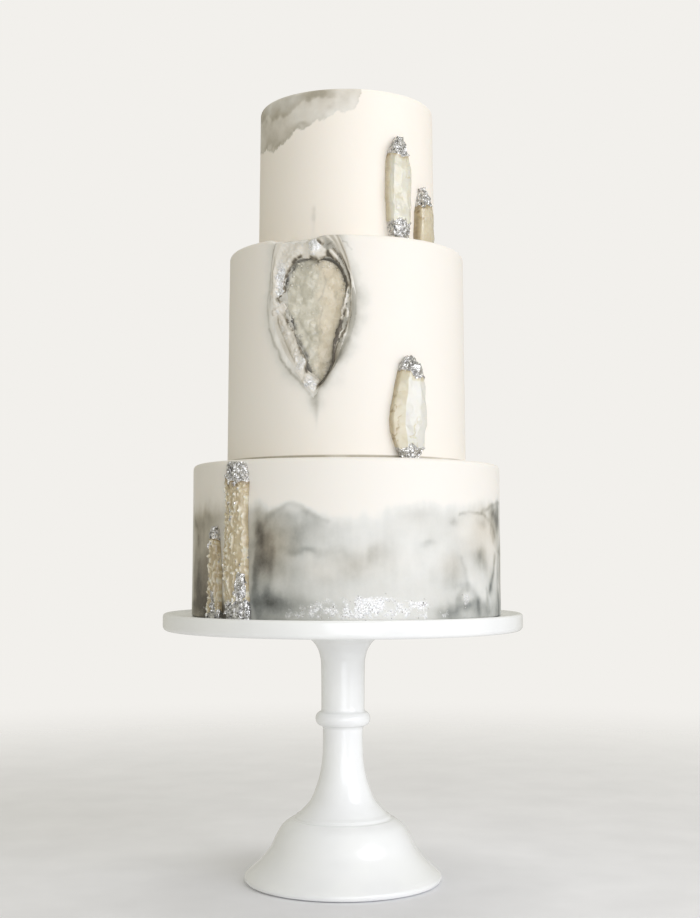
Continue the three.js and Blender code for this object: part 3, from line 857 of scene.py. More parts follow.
def inside(s, z, loop):
    """Whether each point lies in a closed outline."""
    crossings = np.zeros(np.shape(s), int)
    for (s0, z0), (s1, z1) in zip(loop, np.roll(loop, -1, axis=0)):
        if z0 != z1:
            spans = (z0 > z) != (z1 > z)
            crossings += spans & (s < (s1 - s0) * (z - z0) / (z1 - z0) + s0)
    return crossings % 2 == 1


def closed(loop):
    """The same outline with its first point again at the end."""
    return np.concatenate([loop, loop[:1]])


outer_loop = loop_of(OUTER_LEFT, OUTER_RIGHT, SIDE_STEPS)
inner_loop = loop_of(INNER_LEFT, INNER_RIGHT, SIDE_STEPS)


def geode_places(s, z):
    """Distance to the outer and the inner outline, positive inside each."""
    to_outer = distance_to(s, z, closed(outer_loop)) * np.where(inside(s, z, outer_loop), 1, -1)
    to_inner = distance_to(s, z, closed(inner_loop)) * np.where(inside(s, z, inner_loop), 1, -1)
    return to_outer, to_inner


def slope_depth(to_outer, to_inner):
    """Depth of the slope between the outlines, in mm. It leaves the wall gently."""
    share = np.clip(to_outer, 0, None) / (np.clip(to_outer, 0, None) + np.clip(-to_inner, 0, None) + 1e-6)
    return BRIM_DEPTH * np.where(to_outer > 0, 0.35 * share + 0.65 * smooth_step(0, 1, share), 0)


def geode_depth(to_outer, to_inner):
    """Depth of the carving under the wall, in mm."""
    slope = slope_depth(to_outer, to_inner)
    return slope + np.where(to_inner > 0, np.interp(to_inner, *CARVED_DEPTHS), 0)


print("geode outline", len(outer_loop), "points")

# %% [markdown]
# ## The middle tier
# The carved wall can be had by a Boolean, but then the icing's mesh would be torn along the cut. A tier is
# a sheet of points round an axis, so the carving is only a smaller radius there, and the columns and rows
# are set closer together across it. Grey colour was airbrushed round the geode. The cut edge of the hollow
# is painted nearly black as shade, and painted shade marks the joint where the tier stands on the one below.

# %% Build the middle tier
FINE = 0.75  # mm between points on the carving
COARSE = 4.0  # mm elsewhere
CARVED_ARC = (-74, 14)  # mm from the front, where the points are fine
CARVED_LOW = 390  # mm, the height from which they are fine
GEODE_ARC = -29  # mm from the front to the geode's middle
GEODE_FOLDS = [  # grey lines brushed beside the geode, and painted shade along creased folds of the icing: line, half width, darkness
    ([(-15, 521), (-9, 524.5), (0, 522), (4, 516)], 0.7, 0.34),
    ([(-63, 520), (-66, 500), (-69, 478), (-68, 458)], 0.8, 0.2),
    ([(-61, 523), (-63, 505), (-65.5, 480)], 0.6, 0.2),
    ([(-67, 456), (-60, 440), (-50, 424), (-38, 412), (-29, 401)], 1.0, 0.3),
    ([(1, 444), (-5, 431), (-11, 420), (-19, 408)], 2.4, 0.34),
]


def beside_geode(s, z, radius, reach, lowest):
    """The points of the wall that are near enough to the geode to be changed by it."""
    return (np.abs(s - GEODE_ARC) < reach) & (z > lowest) & (radius > 70)


def paint_middle(points, azimuth, z, radius):
    s = azimuth * GEODE_RADIUS
    near = beside_geode(s, z, radius, 62, 372)
    wash = np.zeros(len(z))
    fine = cloud_noise(points[near], 7, 121, 3)
    clouds = cloud_noise(points[near], 20, 125)
    streaks = cloud_noise(points[near] * [1, 1, 0.25], 5, 129, 3)
    to_outer, to_inner = geode_places(s[near], z[near])
    out = np.clip(-to_outer, 0, None)
    side = smooth_step(-60, 10, s[near])
    # grey sprayed round the outline, and a tail of it under the lower tip
    halo = (0.14 + 0.2 * side) * np.exp(-out / (4.5 + 1.5 * clouds)) + 0.07 * np.exp(-((out / 10) ** 2))
    tail = 0.26 * puff(s[near], z[near], (-25, 396), (3.5, 11)) * (1 + 0.4 * fine)
    tail += 0.12 * puff(s[near], z[near], (-23.5, 386), (1.6, 12))
    # streaks on the slope, and painted shade that darkens the carved wall and the cut edge of the hollow
    slope = (to_outer > 0) * (0.22 + 0.16 * streaks + 0.2 * side)
    cut_shade = smooth_step(-2.4, 0.6, to_inner + 1.4 * fine) * (0.18 + 0.38 * side)
    cut_shade += 0.5 * np.exp(-(((to_inner + 0.4) / 0.9) ** 2)) * np.clip(0.6 + fine, 0, 1)
    wash[near] = np.where(to_outer > 0, slope + cut_shade, halo * (1 + 0.4 * clouds + 0.2 * fine) + tail)
    # brushed grey lines, and painted shade along the creased folds
    for line, width, dark in GEODE_FOLDS:
        fold = brushed(s[near] + 0.8 * fine, z[near] + 0.8 * fine, line, width)
        wash[near] += dark * fold * (0.8 + 0.4 * clouds)
    # painted shade in the joint where the tier stands on the one below
    above = z - TIER_BASE
    joint_shade = smooth_step(3.6, 2.6, above) * (radius > GEODE_RADIUS - 4)
    wash += 0.55 * joint_shade * np.clip(0.9 + 0.5 * cloud_noise(points * [1, 1, 0], 30, 133, 2), 0, 1)
    umber = np.where(above < 6, 1.0, 0.6)
    return {"wash": np.clip(wash, 0, 1), "umber": umber, "ivory": np.full(len(z), 0.35)}


def dig_geode(azimuth, z, radius):
    s = azimuth * GEODE_RADIUS
    near = beside_geode(s, z, radius, 45, 392)
    to_outer, to_inner = geode_places(s[near], z[near])
    lip = 0.5 * np.exp(-((np.clip(-to_outer, 0, None) / 2.5) ** 2))
    carved_wall = np.where(to_outer > 0, GEODE_RADIUS + lip - geode_depth(to_outer, to_inner), 1e9)
    radius = radius.copy()
    radius[near] = np.minimum(radius[near], carved_wall)
    at_edge = smooth_step(84, 96, radius) * np.clip((z - TIER_TOP + 8) / 8, 0, 1)
    return radius, z - lowered(s) * at_edge


joint_rows = TIER_BASE + np.array([2.0, 2.5, 3.0, 3.5, 4.1, 5.5])
plain_rows = np.arange(TIER_BASE + 8, CARVED_LOW - 2, COARSE)
carved_rows = np.arange(CARVED_LOW, TIER_TOP - SHOULDER - 0.3, FINE)
profile = tier_profile("middle_tier", np.concatenate([joint_rows, plain_rows, carved_rows]))
carved = np.arange(*CARVED_ARC, FINE)
plain = np.arange(CARVED_ARC[1], 2 * math.pi * GEODE_RADIUS + CARVED_ARC[0], COARSE)
columns = np.concatenate([carved, plain]) / GEODE_RADIUS
middle = build_tier("middle_tier_iced", profile, columns, 131, paint_middle, dig_geode)
hand_over(middle, "sugarpaste", "middle_tier")

# %% [markdown]
# ## Finish: rock sugar
# Rock sugar grows as cloudy, flat-sided crystals. Light goes in, scatters and comes back warm, so they have
# little contrast: beige on the right of the geode and grey-green on the left. Colour from the carving has
# run in between them. Two painted numbers say where it is warm, and where it is stained and darkened by
# painted shade along the hollow's edge and under its top. The light that wanders inside is given by
# subsurface scattering, because clear transmission turns dark in a deep bed.

# %% Rock sugar
VEIL_WIDTH = 9  # mm, the cloudy veils inside the crystals
SUGAR_GRAIN = 1.1  # mm, the frost on their faces

rock_sugar, tree, surface, place = new_material("rock_sugar_crystals")
stain_and_shade, warmth = (
    add_node(tree, "ShaderNodeAttribute", attribute_name=name).outputs["Fac"] for name in ("wash", "umber")
)
veil = add_node(
    tree,
    "ShaderNodeTexNoise",
    {"Vector": place, "Scale": 1 / (VEIL_WIDTH * MM), "Detail": 5.0, "Roughness": 0.6},
)
cool = add_node(
    tree, "ShaderNodeValToRGB", {"Fac": veil.outputs["Fac"]}, [(0.36, "CAC6B6"), (0.64, "DEDACB")]
)
beige = add_node(
    tree, "ShaderNodeValToRGB", {"Fac": veil.outputs["Fac"]}, [(0.36, "E4D9C3"), (0.64, "F3EAD8")]
)
tone = add_node(
    tree,
    "ShaderNodeMix",
    {SHARE: warmth, COLOUR_A: cool.outputs["Color"], COLOUR_B: beige.outputs["Color"]},
    data_type="RGBA",
)
stained_and_shaded = add_node(
    tree,
    "ShaderNodeMix",
    {SHARE: stain_and_shade, COLOUR_A: tone.outputs[MIXED], COLOUR_B: linear("4E4C45")},
    data_type="RGBA",
)
frost = add_node(
    tree,
    "ShaderNodeMapRange",
    {"Value": veil.outputs["Fac"], "From Min": 0.3, "From Max": 0.7, "To Min": 0.14, "To Max": 0.4},
)
grains = add_node(tree, "ShaderNodeTexNoise", {"Vector": place, "Scale": 1 / (SUGAR_GRAIN * MM)})
bump = add_node(
    tree, "ShaderNodeBump", {"Height": grains.outputs["Fac"], "Strength": 0.35, "Distance": 0.25 * MM}
)
feed(
    surface,
    {
        "Base Color": stained_and_shaded.outputs[MIXED], "Roughness": frost.outputs[0], "Normal": bump.outputs["Normal"],
        "IOR": 1.54, "Subsurface Weight": 0.5, "Subsurface Radius": (1.0, 0.92, 0.78),
        "Subsurface Scale": 2 * MM,
    },
)
print("material", rock_sugar.name)

# %% [markdown]
# ## The crystals in the geode
# The hollow is lined with a bed of large flat crystals that have grown together, and small blunt ones crowd
# along its edge. The bed is a shallow bowl of points, raised into low six-sided pyramids: at each point the
# highest pyramid shows. The small crystals repeat over a surface, which is what Geometry Nodes are for:
# points are spread along the edge no closer than a set distance, a six-sided stub is put on each, tilted
# and scaled at random, and the instances are realized so that they are real mesh. The function that builds
# the tree is used once more further down, for flakes of leaf.

# %% Places in the hollow
GEODE_CENTRE = np.array([-27, 468])
BED = [  # share of the way from the middle to the brim, mm under the wall
    (0.0, 11.6), (0.25, 11.4), (0.5, 10.8), (0.7, 9.8), (0.85, 8.4), (0.94, 7.2), (0.985, 6.4),
]
BED_EDGE = BED[-1][0]  # the bed's widest row, as a share of the brim
BED_BACK = [(BED_EDGE, 15.5), (0.3, 17.2)]  # rows that close it behind
BED_PYRAMIDS = 170
CRYSTAL_SEED = 5
CRYSTAL_TILT = 0.75  # radians
CROWDED = 2.5e5  # crystals tried on a square metre, before the spacing thins them out
FULL_TURN = 6.28  # radians
CRYSTAL_SIZES = {"Spacing": 2.6 * MM, "Smallest": 1.0 * MM, "Largest": 2.0 * MM}
BED_CRACKS = [  # lines where colour ran between the crystals: line, half width, darkness
    ([(-19, 500), (-20, 490), (-22, 482), (-26, 478)], 1.1, 0.22),
    ([(-33, 494), (-31, 486), (-33, 480)], 1.0, 0.16),
    ([(-22, 472), (-24, 462), (-22, 452)], 1.0, 0.16),
    ([(-46, 470), (-38, 452), (-31, 438)], 1.4, 0.14),
    ([(-27, 456), (-29, 450)], 1.8, 0.14),
    ([(-8, 484), (-9, 478)], 1.0, 0.14),
]
RIM_EDGE = [  # the ragged edge of the hollow, up the left side and down the right
    (-22.5, 413), (-27, 417), (-33, 420.5), (-34.5, 428), (-38, 436), (-41, 441), (-47.5, 454.5), (-53, 466),
    (-54, 475), (-59, 480), (-55.5, 487), (-56, 494), (-50, 502), (-47, 506), (-42, 510), (-36, 511.5),
    (-30, 510.5), (-25, 509), (-20, 510), (-16, 511.5), (-9, 507.5), (-3, 499), (0.5, 487.5), (-2, 477),
    (-4, 470), (-5, 459), (-10, 446.5), (-11, 431), (-12.5, 422), (-17, 413), (-20.5, 409.5),
]
RIM_DARKS = [  # dark lines along the edge of the hollow, part colour that ran in and part painted shade under the torn edge: line, half width, darkness
    ([(-23, 525), (-16, 519), (-15, 513.5), (-9, 507.5)], 1.2, 0.7),
    ([(-15, 513), (-9, 507), (-3, 499.5), (0.5, 488)], 1.5, 1.0),
    ([(-5, 459), (-10, 446), (-11, 431), (-12.5, 422), (-17, 413), (-22, 408)], 1.7, 1.0),
    ([(-1, 468), (-2, 465)], 1.4, 0.7),
    ([(-38, 513), (-40, 512)], 1.2, 0.9),
    ([(-43, 510.5), (-45, 508.5)], 1.4, 1.0),
    ([(-46.5, 506), (-48, 504.5)], 1.0, 0.9),
    ([(-49, 504), (-52, 499), (-54, 494), (-55, 488)], 1.1, 0.8),
    ([(-53.5, 496), (-55, 493)], 0.8, 0.9),
    ([(-57, 482), (-60, 480), (-58, 477)], 1.5, 1.0),
    ([(-53, 467), (-50, 460)], 1.6, 0.7),
    ([(-50, 463), (-45, 452), (-40, 442), (-35, 432)], 1.3, 1.0),
    ([(-34, 425), (-33, 419)], 1.3, 1.0),
    ([(-29, 511), (-25, 509.5)], 1.7, 0.8),
    ([(-21, 510), (-18, 511)], 1.0, 0.6),
]
RIM_STROKES = [  # grey brushed along the rim: line, half width, darkness
    (
        [(-5.5, 513), (1.4, 502), (5.4, 490), (6.4, 478), (6.2, 468), (2.6, 455), (-2.5, 441), (-7.5, 431)],
        1.4, 0.32,
    ),
    ([(-9, 512), (-3.5, 504), (1.5, 493), (3.4, 483)], 0.8, 0.26),
    ([(3.4, 475), (2.0, 462), (-1.5, 450), (-5.5, 440)], 0.8, 0.5),
    ([(-2.5, 457), (-5, 447), (-8, 437)], 2.8, 0.42),
    ([(-8, 430), (-11, 421), (-16, 412)], 2.2, 0.6),
    ([(-62, 514), (-64, 496), (-64.5, 476)], 0.7, 0.3),
    ([(-61, 472), (-57, 456), (-50, 441), (-43, 428)], 0.7, 0.16),
    ([(-57, 463), (-52, 448), (-46, 436)], 0.6, 0.12),
]


print("hollow", len(BED_CRACKS), "cracks,", len(RIM_DARKS), "dark lines,", len(RIM_STROKES), "brush lines")


# %% Build the bed
def dark_lines(s, z, spread, broken):
    """How dark the colour and the painted shade along the hollow's edge are. spread widens the lines, and
    broken breaks them up.
    """
    darkness = sum(dark * brushed(s, z, line, width * spread) for line, width, dark in RIM_DARKS)
    return darkness * np.clip(0.9 + 0.7 * broken, 0, 1.2)


bed_loop = loop_of(INNER_LEFT, INNER_RIGHT, 80)


def bed_points(scale, depth):
    """One row of the bed: the brim's outline shrunk to a scale, that many mm under the wall."""
    s, z = (GEODE_CENTRE + (bed_loop - GEODE_CENTRE) * scale).T
    return on_cylinder(s / GEODE_RADIUS, GEODE_RADIUS - depth, z, CAKE_OFFSET)


def pyramids(x, z, count, seed):
    """Height of many low six-sided pyramids, grown into each other."""
    rng = np.random.default_rng(seed)
    height = np.full(len(x), -9.0)
    for _ in range(count):
        peak = rng.uniform(-1.6, 1.4)
        away = x - rng.uniform(-60, 6), z - rng.uniform(404, 514)
        sides = rng.uniform(0, 1) + np.arange(6) * np.pi / 3
        steep = rng.uniform(0.22, 0.6)
        apart = np.max([away[0] * np.cos(a) + away[1] * np.sin(a) for a in sides], axis=0)
        height = np.maximum(height, peak - steep * apart)
    return height


scales = np.concatenate([[0.02], np.linspace(0.05, BED_EDGE, 46)])
front_rows = zip(scales, np.interp(scales, *zip(*BED)))
rows = [bed_points(scale, depth) for scale, depth in [*front_rows, *BED_BACK]]
bed = np.concatenate(rows)
face_rows = len(scales)
lift = np.repeat(np.concatenate([np.ones(face_rows - 1), np.zeros(3)]), len(bed_loop))
raised = np.clip(pyramids(bed[:, 0], bed[:, 2], BED_PYRAMIDS, 141), -1.5, 1.6)
bed[:, 1] -= (raised + 0.25 * cloud_noise(bed, 3.5, 145, 2)) * lift
bed_ends = np.stack([bed[: len(bed_loop)].mean(0), bed[-len(bed_loop) :].mean(0)])
bed = np.concatenate([bed, bed_ends])
bed_faces = capped_faces(len(rows), len(bed_loop))
print("bed", len(bed), "points")


# %% Scatter the small crystals
def scatter_tree(name, sizes, spread, shape, tilt, material, keep_surface=False):
    """A tree that spreads a small shape over a surface, tilted, turned and scaled at random.

    sizes are its named inputs. spread(tree, given) adds the points, and shape(tree) the small shape.
    """
    tree = bpy.data.node_groups.new(name, "GeometryNodeTree")
    face = tree.interface
    face.new_socket("Surface", in_out="INPUT", socket_type="NodeSocketGeometry")
    for size in sizes:
        face.new_socket(size, in_out="INPUT", socket_type="NodeSocketFloat").default_value = sizes[size]
    face.new_socket("Seed", in_out="INPUT", socket_type="NodeSocketInt")
    face.new_socket("Result", in_out="OUTPUT", socket_type="NodeSocketGeometry")
    given = add_node(tree, "NodeGroupInput").outputs
    points = spread(tree, given)
    turn = add_node(
        tree,
        "FunctionNodeRandomValue",
        {"Min": (-tilt, -tilt, 0.0), "Max": (tilt, tilt, FULL_TURN), "Seed": given["Seed"]},
        data_type="FLOAT_VECTOR",
    )
    rotation = add_node(tree, "FunctionNodeEulerToRotation", {"Euler": turn.outputs[0]})
    lean = add_node(
        tree,
        "FunctionNodeRotateRotation",
        {"Rotation": points.outputs["Rotation"], "Rotate By": rotation.outputs[0]},
        rotation_space="LOCAL",
    )
    size = add_node(
        tree,
        "FunctionNodeRandomValue",
        {2: given["Smallest"], 3: given["Largest"], "Seed": given["Seed"]},
        data_type="FLOAT",
    )
    placed = add_node(
        tree,
        "GeometryNodeInstanceOnPoints",
        {
            "Points": points.outputs["Points"], "Instance": shape(tree), "Rotation": lean.outputs[0],
            "Scale": size.outputs[1],
        },
    )
    real = add_node(tree, "GeometryNodeRealizeInstances", {"Geometry": placed.outputs[0]})
    flat = {"Geometry": real.outputs[0], "Shade Smooth": False}
    result = add_node(tree, "GeometryNodeSetShadeSmooth", flat)
    if keep_surface:
        both = add_node(tree, "GeometryNodeJoinGeometry", {0: result.outputs[0]})
        feed(both, {0: given["Surface"]})
        result = both
    coated = add_node(tree, "GeometryNodeSetMaterial", {"Geometry": result.outputs[0], "Material": material})
    add_node(tree, "NodeGroupOutput", {"Result": coated.outputs[0]})
    return tree


def crowded_points(tree, given):
    """Points no closer to each other than the spacing, and only where the surface says keep."""
    keep = add_node(tree, "GeometryNodeInputNamedAttribute", {"Name": "keep"}, data_type="FLOAT")
    return add_node(
        tree,
        "GeometryNodeDistributePointsOnFaces",
        {
            "Mesh": given["Surface"], "Distance Min": given["Spacing"], "Density Max": CROWDED,
            "Density Factor": keep.outputs["Attribute"], "Seed": given["Seed"],
        },
        distribute_method="POISSON",
    )


def six_sided_stub(tree):
    """A blunt six-sided crystal, about one unit in size."""
    stub = {"Vertices": 6, "Radius Top": 0.4, "Radius Bottom": 0.9, "Depth": 0.6}
    return add_node(tree, "GeometryNodeMeshCone", stub, fill_type="NGON").outputs["Mesh"]


def grow(piece, tree, values):
    """Runs a tree on a piece and keeps the result as the piece's own plain mesh."""
    modifier = piece.modifiers.new(tree.name, "NODES")
    modifier.node_group = tree
    for item in tree.interface.items_tree:
        if item.item_type == "SOCKET" and item.in_out == "INPUT" and item.name in values:
            modifier[item.identifier] = values[item.name]
    evaluated = piece.evaluated_get(bpy.context.evaluated_depsgraph_get())
    mesh = bpy.data.meshes.new_from_object(evaluated)
    piece.modifiers.remove(modifier)
    piece.data = mesh
    return piece


crowding = smooth_step(0.78, 0.96, scales)  # the small crystals crowd along the edge
keep = np.concatenate([np.repeat([*crowding, 0, 0], len(bed_loop)), [0, 0]])
crystals = make_mesh("geode_lining", bed, bed_faces, [rock_sugar], smooth=False, keep=keep)
crystal_tree = scatter_tree(
    "crystals_on_a_bed", CRYSTAL_SIZES, crowded_points, six_sided_stub, CRYSTAL_TILT, rock_sugar, True
)
grow(crystals, crystal_tree, {**CRYSTAL_SIZES, "Seed": CRYSTAL_SEED})
print("crystals", len(crystals.data.polygons), "faces")

# %% Stain the crystals and paint shade on them
place = np.zeros(len(crystals.data.vertices) * 3)
crystals.data.vertices.foreach_get("co", place)
place = place.reshape(-1, 3) / MM - [CAKE_OFFSET, 0, 0]
s, z = np.arctan2(place[:, 0], -place[:, 1]) * GEODE_RADIUS, place[:, 2]
to_edge = distance_to(s, z, closed(RIM_EDGE))
broken = cloud_noise(place, 6, 151, 3)
# painted shade along the ragged edge under the rim and under the top of the hollow, colour run in along the
# edge, darker at the lower tip, and stain in veins and cracks
shade_and_stain = 0.14 * np.exp(-((to_edge / 2.4) ** 1.5)) * np.clip(0.8 + 0.7 * broken, 0.1, 1)
shade_and_stain += 0.6 * dark_lines(s, z, 1.3, broken)
shade_and_stain += 0.12 * smooth_step(426, 410, z) + 0.03 * smooth_step(498, 508, z)
shade_and_stain += 0.3 * puff(s, z, (-15, 424), (6, 12)) * (1 + 0.6 * broken)
shade_and_stain += 0.04 * np.clip(broken, 0, 1) * smooth_step(-22, -34, s)
veins = np.exp(-((cloud_noise(place, 9, 153, 4) / 0.035) ** 2)) * smooth_step(-0.1, 0.25, broken)
shade_and_stain += 0.16 * veins * np.clip(0.6 + cloud_noise(place, 2.2, 155, 2), 0, 1)
for line, width, dark in BED_CRACKS:
    shade_and_stain += dark * brushed(s + 1.2 * broken, z + 1.2 * broken, line, width)
warm = smooth_step(-34, -16, s + 5 * broken)
write_on(crystals.data, wash=np.clip(shade_and_stain, 0, 1), umber=warm)
hand_over(crystals, "rock_sugar", "geode_crystals")

# %% [markdown]
# ## The torn rim
# When the geode was carved, the icing's edge was left ragged, and leaf was pressed on it, mostly on the left
# and at the lower tip. The right side is painted in grey streaks with only specks of leaf. The rim is a
# closed band that follows the outline. Its height is large lumps, creased foil and fine crumbs of noise,
# and its inner edge wanders over the hollow and throws the dark line there. Its underside and that line
# are darkened further with painted shade.

# %% Lumps and leaf of the rim
RIM_ROUND = 560  # points round the band
RIM_ACROSS = 34  # points across it
RIM_CENTRE = np.array([-28, 466])
RIM_LOWEST = 0.5  # mm, the least height of the band
RIM_UNDER = [  # rows under the band: share of the way across, mm under the slope
    (1.0, 1.4), (0.985, 2.9), (0.93, 3.4), (0.8, 2.2), (0.55, 0.8), (0.25, 0.5), (0.02, 0.3),
]
RIM_LUMPS = [  # lumps of icing: centre, width, height
    ((-26, 523), 5.0, 4.2), ((-29, 515), 4.5, 3.2), ((-23, 513), 4.0, 2.4), ((-57, 503), 8, 1.6),
    ((-50, 512), 7, 1.8), ((-61, 489), 4.5, 1.3), ((-42, 517), 6, 1.5), ((-60, 470), 3.6, 2.4),
    ((-57, 461), 3.2, 1.6), ((-51, 452), 3.6, 1.6), ((-45, 444), 4.6, 1.7), ((-41, 436), 4.4, 2.2),
    ((-38, 428), 4.8, 3.2), ((-37, 420), 4.0, 2.4), ((-32, 412), 4.6, 3.2), ((-27, 407), 3.6, 2.6),
    ((-24, 412), 3.2, 2.0), ((3, 489), 3.0, 1.1), ((0, 478), 3.0, 1.4), ((0, 466), 3.0, 1.3),
    ((-4, 450), 3.4, 1.2), ((-8, 437), 3.2, 1.2), ((-10, 424), 3.0, 0.9), ((-12, 512), 4.0, 1.0),
]
RIM_SILVER = [  # centre, half size, how much leaf
    ((-55, 505), (7, 13), 0.66), ((-58, 488), (4.5, 13), 1.0), ((-60, 472), (4, 7), 0.5),
    ((-40, 517), (12, 5), 0.45), ((-26, 521), (6, 8), 0.9), ((-30, 512), (6, 4), 0.4),
    ((-51, 453), (6, 9), 0.36), ((-41, 437), (7, 11), 0.5), ((-37, 424), (6, 8), 0.6),
    ((-30, 409), (7, 8), 0.85), ((2, 482), (3, 9), 0.5), ((1, 468), (3, 7), 0.45), ((-4, 449), (4, 9), 0.3),
]


def across_rim(shares):
    """Arc and height of points between the rim's outer edge, at 0, and its inner edge, at 1."""
    distance = outer_reach[:, None] + (inner_reach - outer_reach)[:, None] * shares
    return RIM_CENTRE[0] + heading[:, :1] * distance, RIM_CENTRE[1] + heading[:, 1:] * distance


def folded(s, z, depth):
    """A place on the wall, or past the top edge on the tier's flat top."""
    top = TIER_TOP - 1.6 - lowered(s)
    over = np.clip(z - top, 0, 9)
    return on_cylinder(s / GEODE_RADIUS, GEODE_RADIUS - depth - over, np.minimum(z, top + 1.0), CAKE_OFFSET)


def reach(loop, angles):
    """How far a closed outline is from the rim's centre in each direction."""
    s, z = (smooth_line([*loop, loop[0]], 8) - RIM_CENTRE).T
    direction = np.arctan2(z, s)
    order = np.argsort(direction)
    return np.interp(angles, direction[order], np.hypot(s, z)[order], period=2 * np.pi)


print("rim", len(RIM_LUMPS), "lumps,", len(RIM_SILVER), "places with leaf")

# %% Shape the rim
angles = np.linspace(-np.pi, np.pi, RIM_ROUND, endpoint=False)
outer_reach = reach(outer_loop[::3].tolist(), angles)
inner_reach = reach(RIM_EDGE, angles)
heading = np.stack([np.cos(angles), np.sin(angles)], 1)
edge_noise = cloud_noise(np.pad(heading * 40, ((0, 0), (0, 1))), 3.2, 161, 3)
inner_reach = inner_reach + 0.9 * edge_noise
share = np.linspace(0, 1, RIM_ACROSS) ** 0.85
s, z = across_rim(share)
to_outer, to_inner = geode_places(s.ravel(), z.ravel())
slope = np.where(to_inner > 0, BRIM_DEPTH, slope_depth(to_outer, to_inner)).reshape(s.shape)
flat = folded(s, z, slope).reshape(-1, 3)
flat_s, flat_z = s.ravel(), z.ravel()
silver = puffs(flat_s, flat_z, RIM_SILVER)
height = puffs(flat_s, flat_z, [(centre, (width, width), tall) for centre, width, tall in RIM_LUMPS])
rolled = np.tile(share, RIM_ROUND)
# large lumps creased like foil, crumbs of leaf, fine crinkles, folds along the rim and a raised inner edge
height = height * (0.45 + 0.65 * creased(flat, 6.5, 171) * creased(flat, 3.4, 172))
height += (0.35 + 0.75 * np.clip(silver, 0, 1)) * np.clip(cloud_noise(flat, 3.6, 173, 3) + 0.2, 0, 2)
height += 0.16 * np.clip(silver, 0, 1) * cloud_noise(flat, 1.3, 175, 2)
along_rim = np.stack([rolled * 30, np.repeat(angles, RIM_ACROSS) * 7, 0 * rolled], 1)
height += 0.3 * (creased(along_rim, 4, 179) ** 2 - 0.4)
height += 0.9 * smooth_step(0.6, 0.95, rolled) * (0.7 + 0.5 * cloud_noise(flat, 4, 177, 2))
height = np.maximum(height, RIM_LOWEST)
height = height * smooth_step(0.0, 0.3, rolled) - 0.2 * (1 - smooth_step(0.0, 0.2, rolled))
top_face = folded(s, z, slope - height.reshape(s.shape))
lip_share, lip_depth = np.array(RIM_UNDER).T
lip_s, lip_z = across_rim(lip_share)
under = folded(lip_s, lip_z, BRIM_DEPTH * lip_share + lip_depth)
section = np.concatenate([top_face, under], axis=1)
print("rim", section.shape[0], "by", section.shape[1], "points, up to", round(height.max(), 1), "mm high")

# %% Paint and build the rim
streak = cloud_noise(along_rim, 4, 181, 4)
right = smooth_step(-34, -4, flat_s)  # 0 on the left side of the geode, 1 on the right
rim_wash_and_shade = 0.2 + 0.08 * right + 0.1 * (1 - right) * smooth_step(482, 466, flat_z)
rim_wash_and_shade += (0.14 + 0.45 * right) * streak + 0.14 * right * smooth_step(0.3, 1.0, rolled)
for line, width, dark in RIM_STROKES:
    stroke = brushed(flat_s + 0.6 * streak, flat_z + 0.6 * streak, line, width)
    rim_wash_and_shade += dark * stroke * np.clip(1 + 0.8 * streak, 0.2, 1.6)
rim_wash_and_shade = np.clip(rim_wash_and_shade, 0.06, 1) * (1 - 0.4 * right * smooth_step(0.3, 0.0, rolled))
rim_wash_and_shade = rim_wash_and_shade * (1 - 0.7 * np.clip(silver, 0, 1))
rim_broken = cloud_noise(flat, 4, 183, 3)
# dark lines of colour that ran in, and painted shade, along the hollow's edge
rim_wash_and_shade += dark_lines(flat_s + 0.5 * streak, flat_z + 0.5 * streak, 1.0, rim_broken)
rim_leaf = silver * (0.85 + 0.45 * cloud_noise(flat, 5, 185, 3))
rim_leaf = np.clip(rim_leaf - 1.8 * np.clip(rim_wash_and_shade - 0.42, 0, 1), 0, 1)
# painted shade on the underside of the lip that hangs over the hollow, darker along the edge's dark lines
below = dark_lines(lip_s.ravel(), lip_z.ravel(), 2.6, cloud_noise(under.reshape(-1, 3), 4, 187, 3))
under_shade_and_wash = np.clip(0.32 + 0.6 * below, 0, 1).reshape(lip_s.shape)
wash = np.concatenate([rim_wash_and_shade.reshape(s.shape), under_shade_and_wash], 1).ravel()
leaf = np.concatenate([rim_leaf.reshape(s.shape), np.zeros(under.shape[:2])], 1).ravel()
rim_faces = grid_faces(RIM_ROUND, section.shape[1], wrap_rows=True)[:, ::-1]
rim_paint = {"wash": np.clip(wash, 0, 1), "leaf": leaf, "umber": np.ones(len(wash))}
rim = make_mesh("geode_torn_rim", section.reshape(-1, 3), rim_faces.tolist(), [sugarpaste], **rim_paint)
hand_over(rim, "silver_leaf", "geode_rim")

# %% [markdown]
# ## Finish: poured sugar and silver leaf
# The shards are isomalt, a sugar that is melted, poured and broken. It is a glass: clear champagne, glossy,
# and cloudy where small bubbles are caught. Silver leaf is beaten silver a thousandth of a millimetre thick.
# Crumpled on the ends, it is a bright metal whose creases catch black and white.

# %% Poured sugar
CLOUD_WIDTH = 7  # mm, the clouds of small bubbles
RIPPLE_WIDTH = 3.2  # mm, the ripples of the poured surface

poured_sugar, tree, surface, place = new_material("poured_isomalt")
cloud = add_node(
    tree,
    "ShaderNodeTexNoise",
    {"Vector": place, "Scale": 1 / (CLOUD_WIDTH * MM), "Detail": 4.0, "Roughness": 0.55},
)
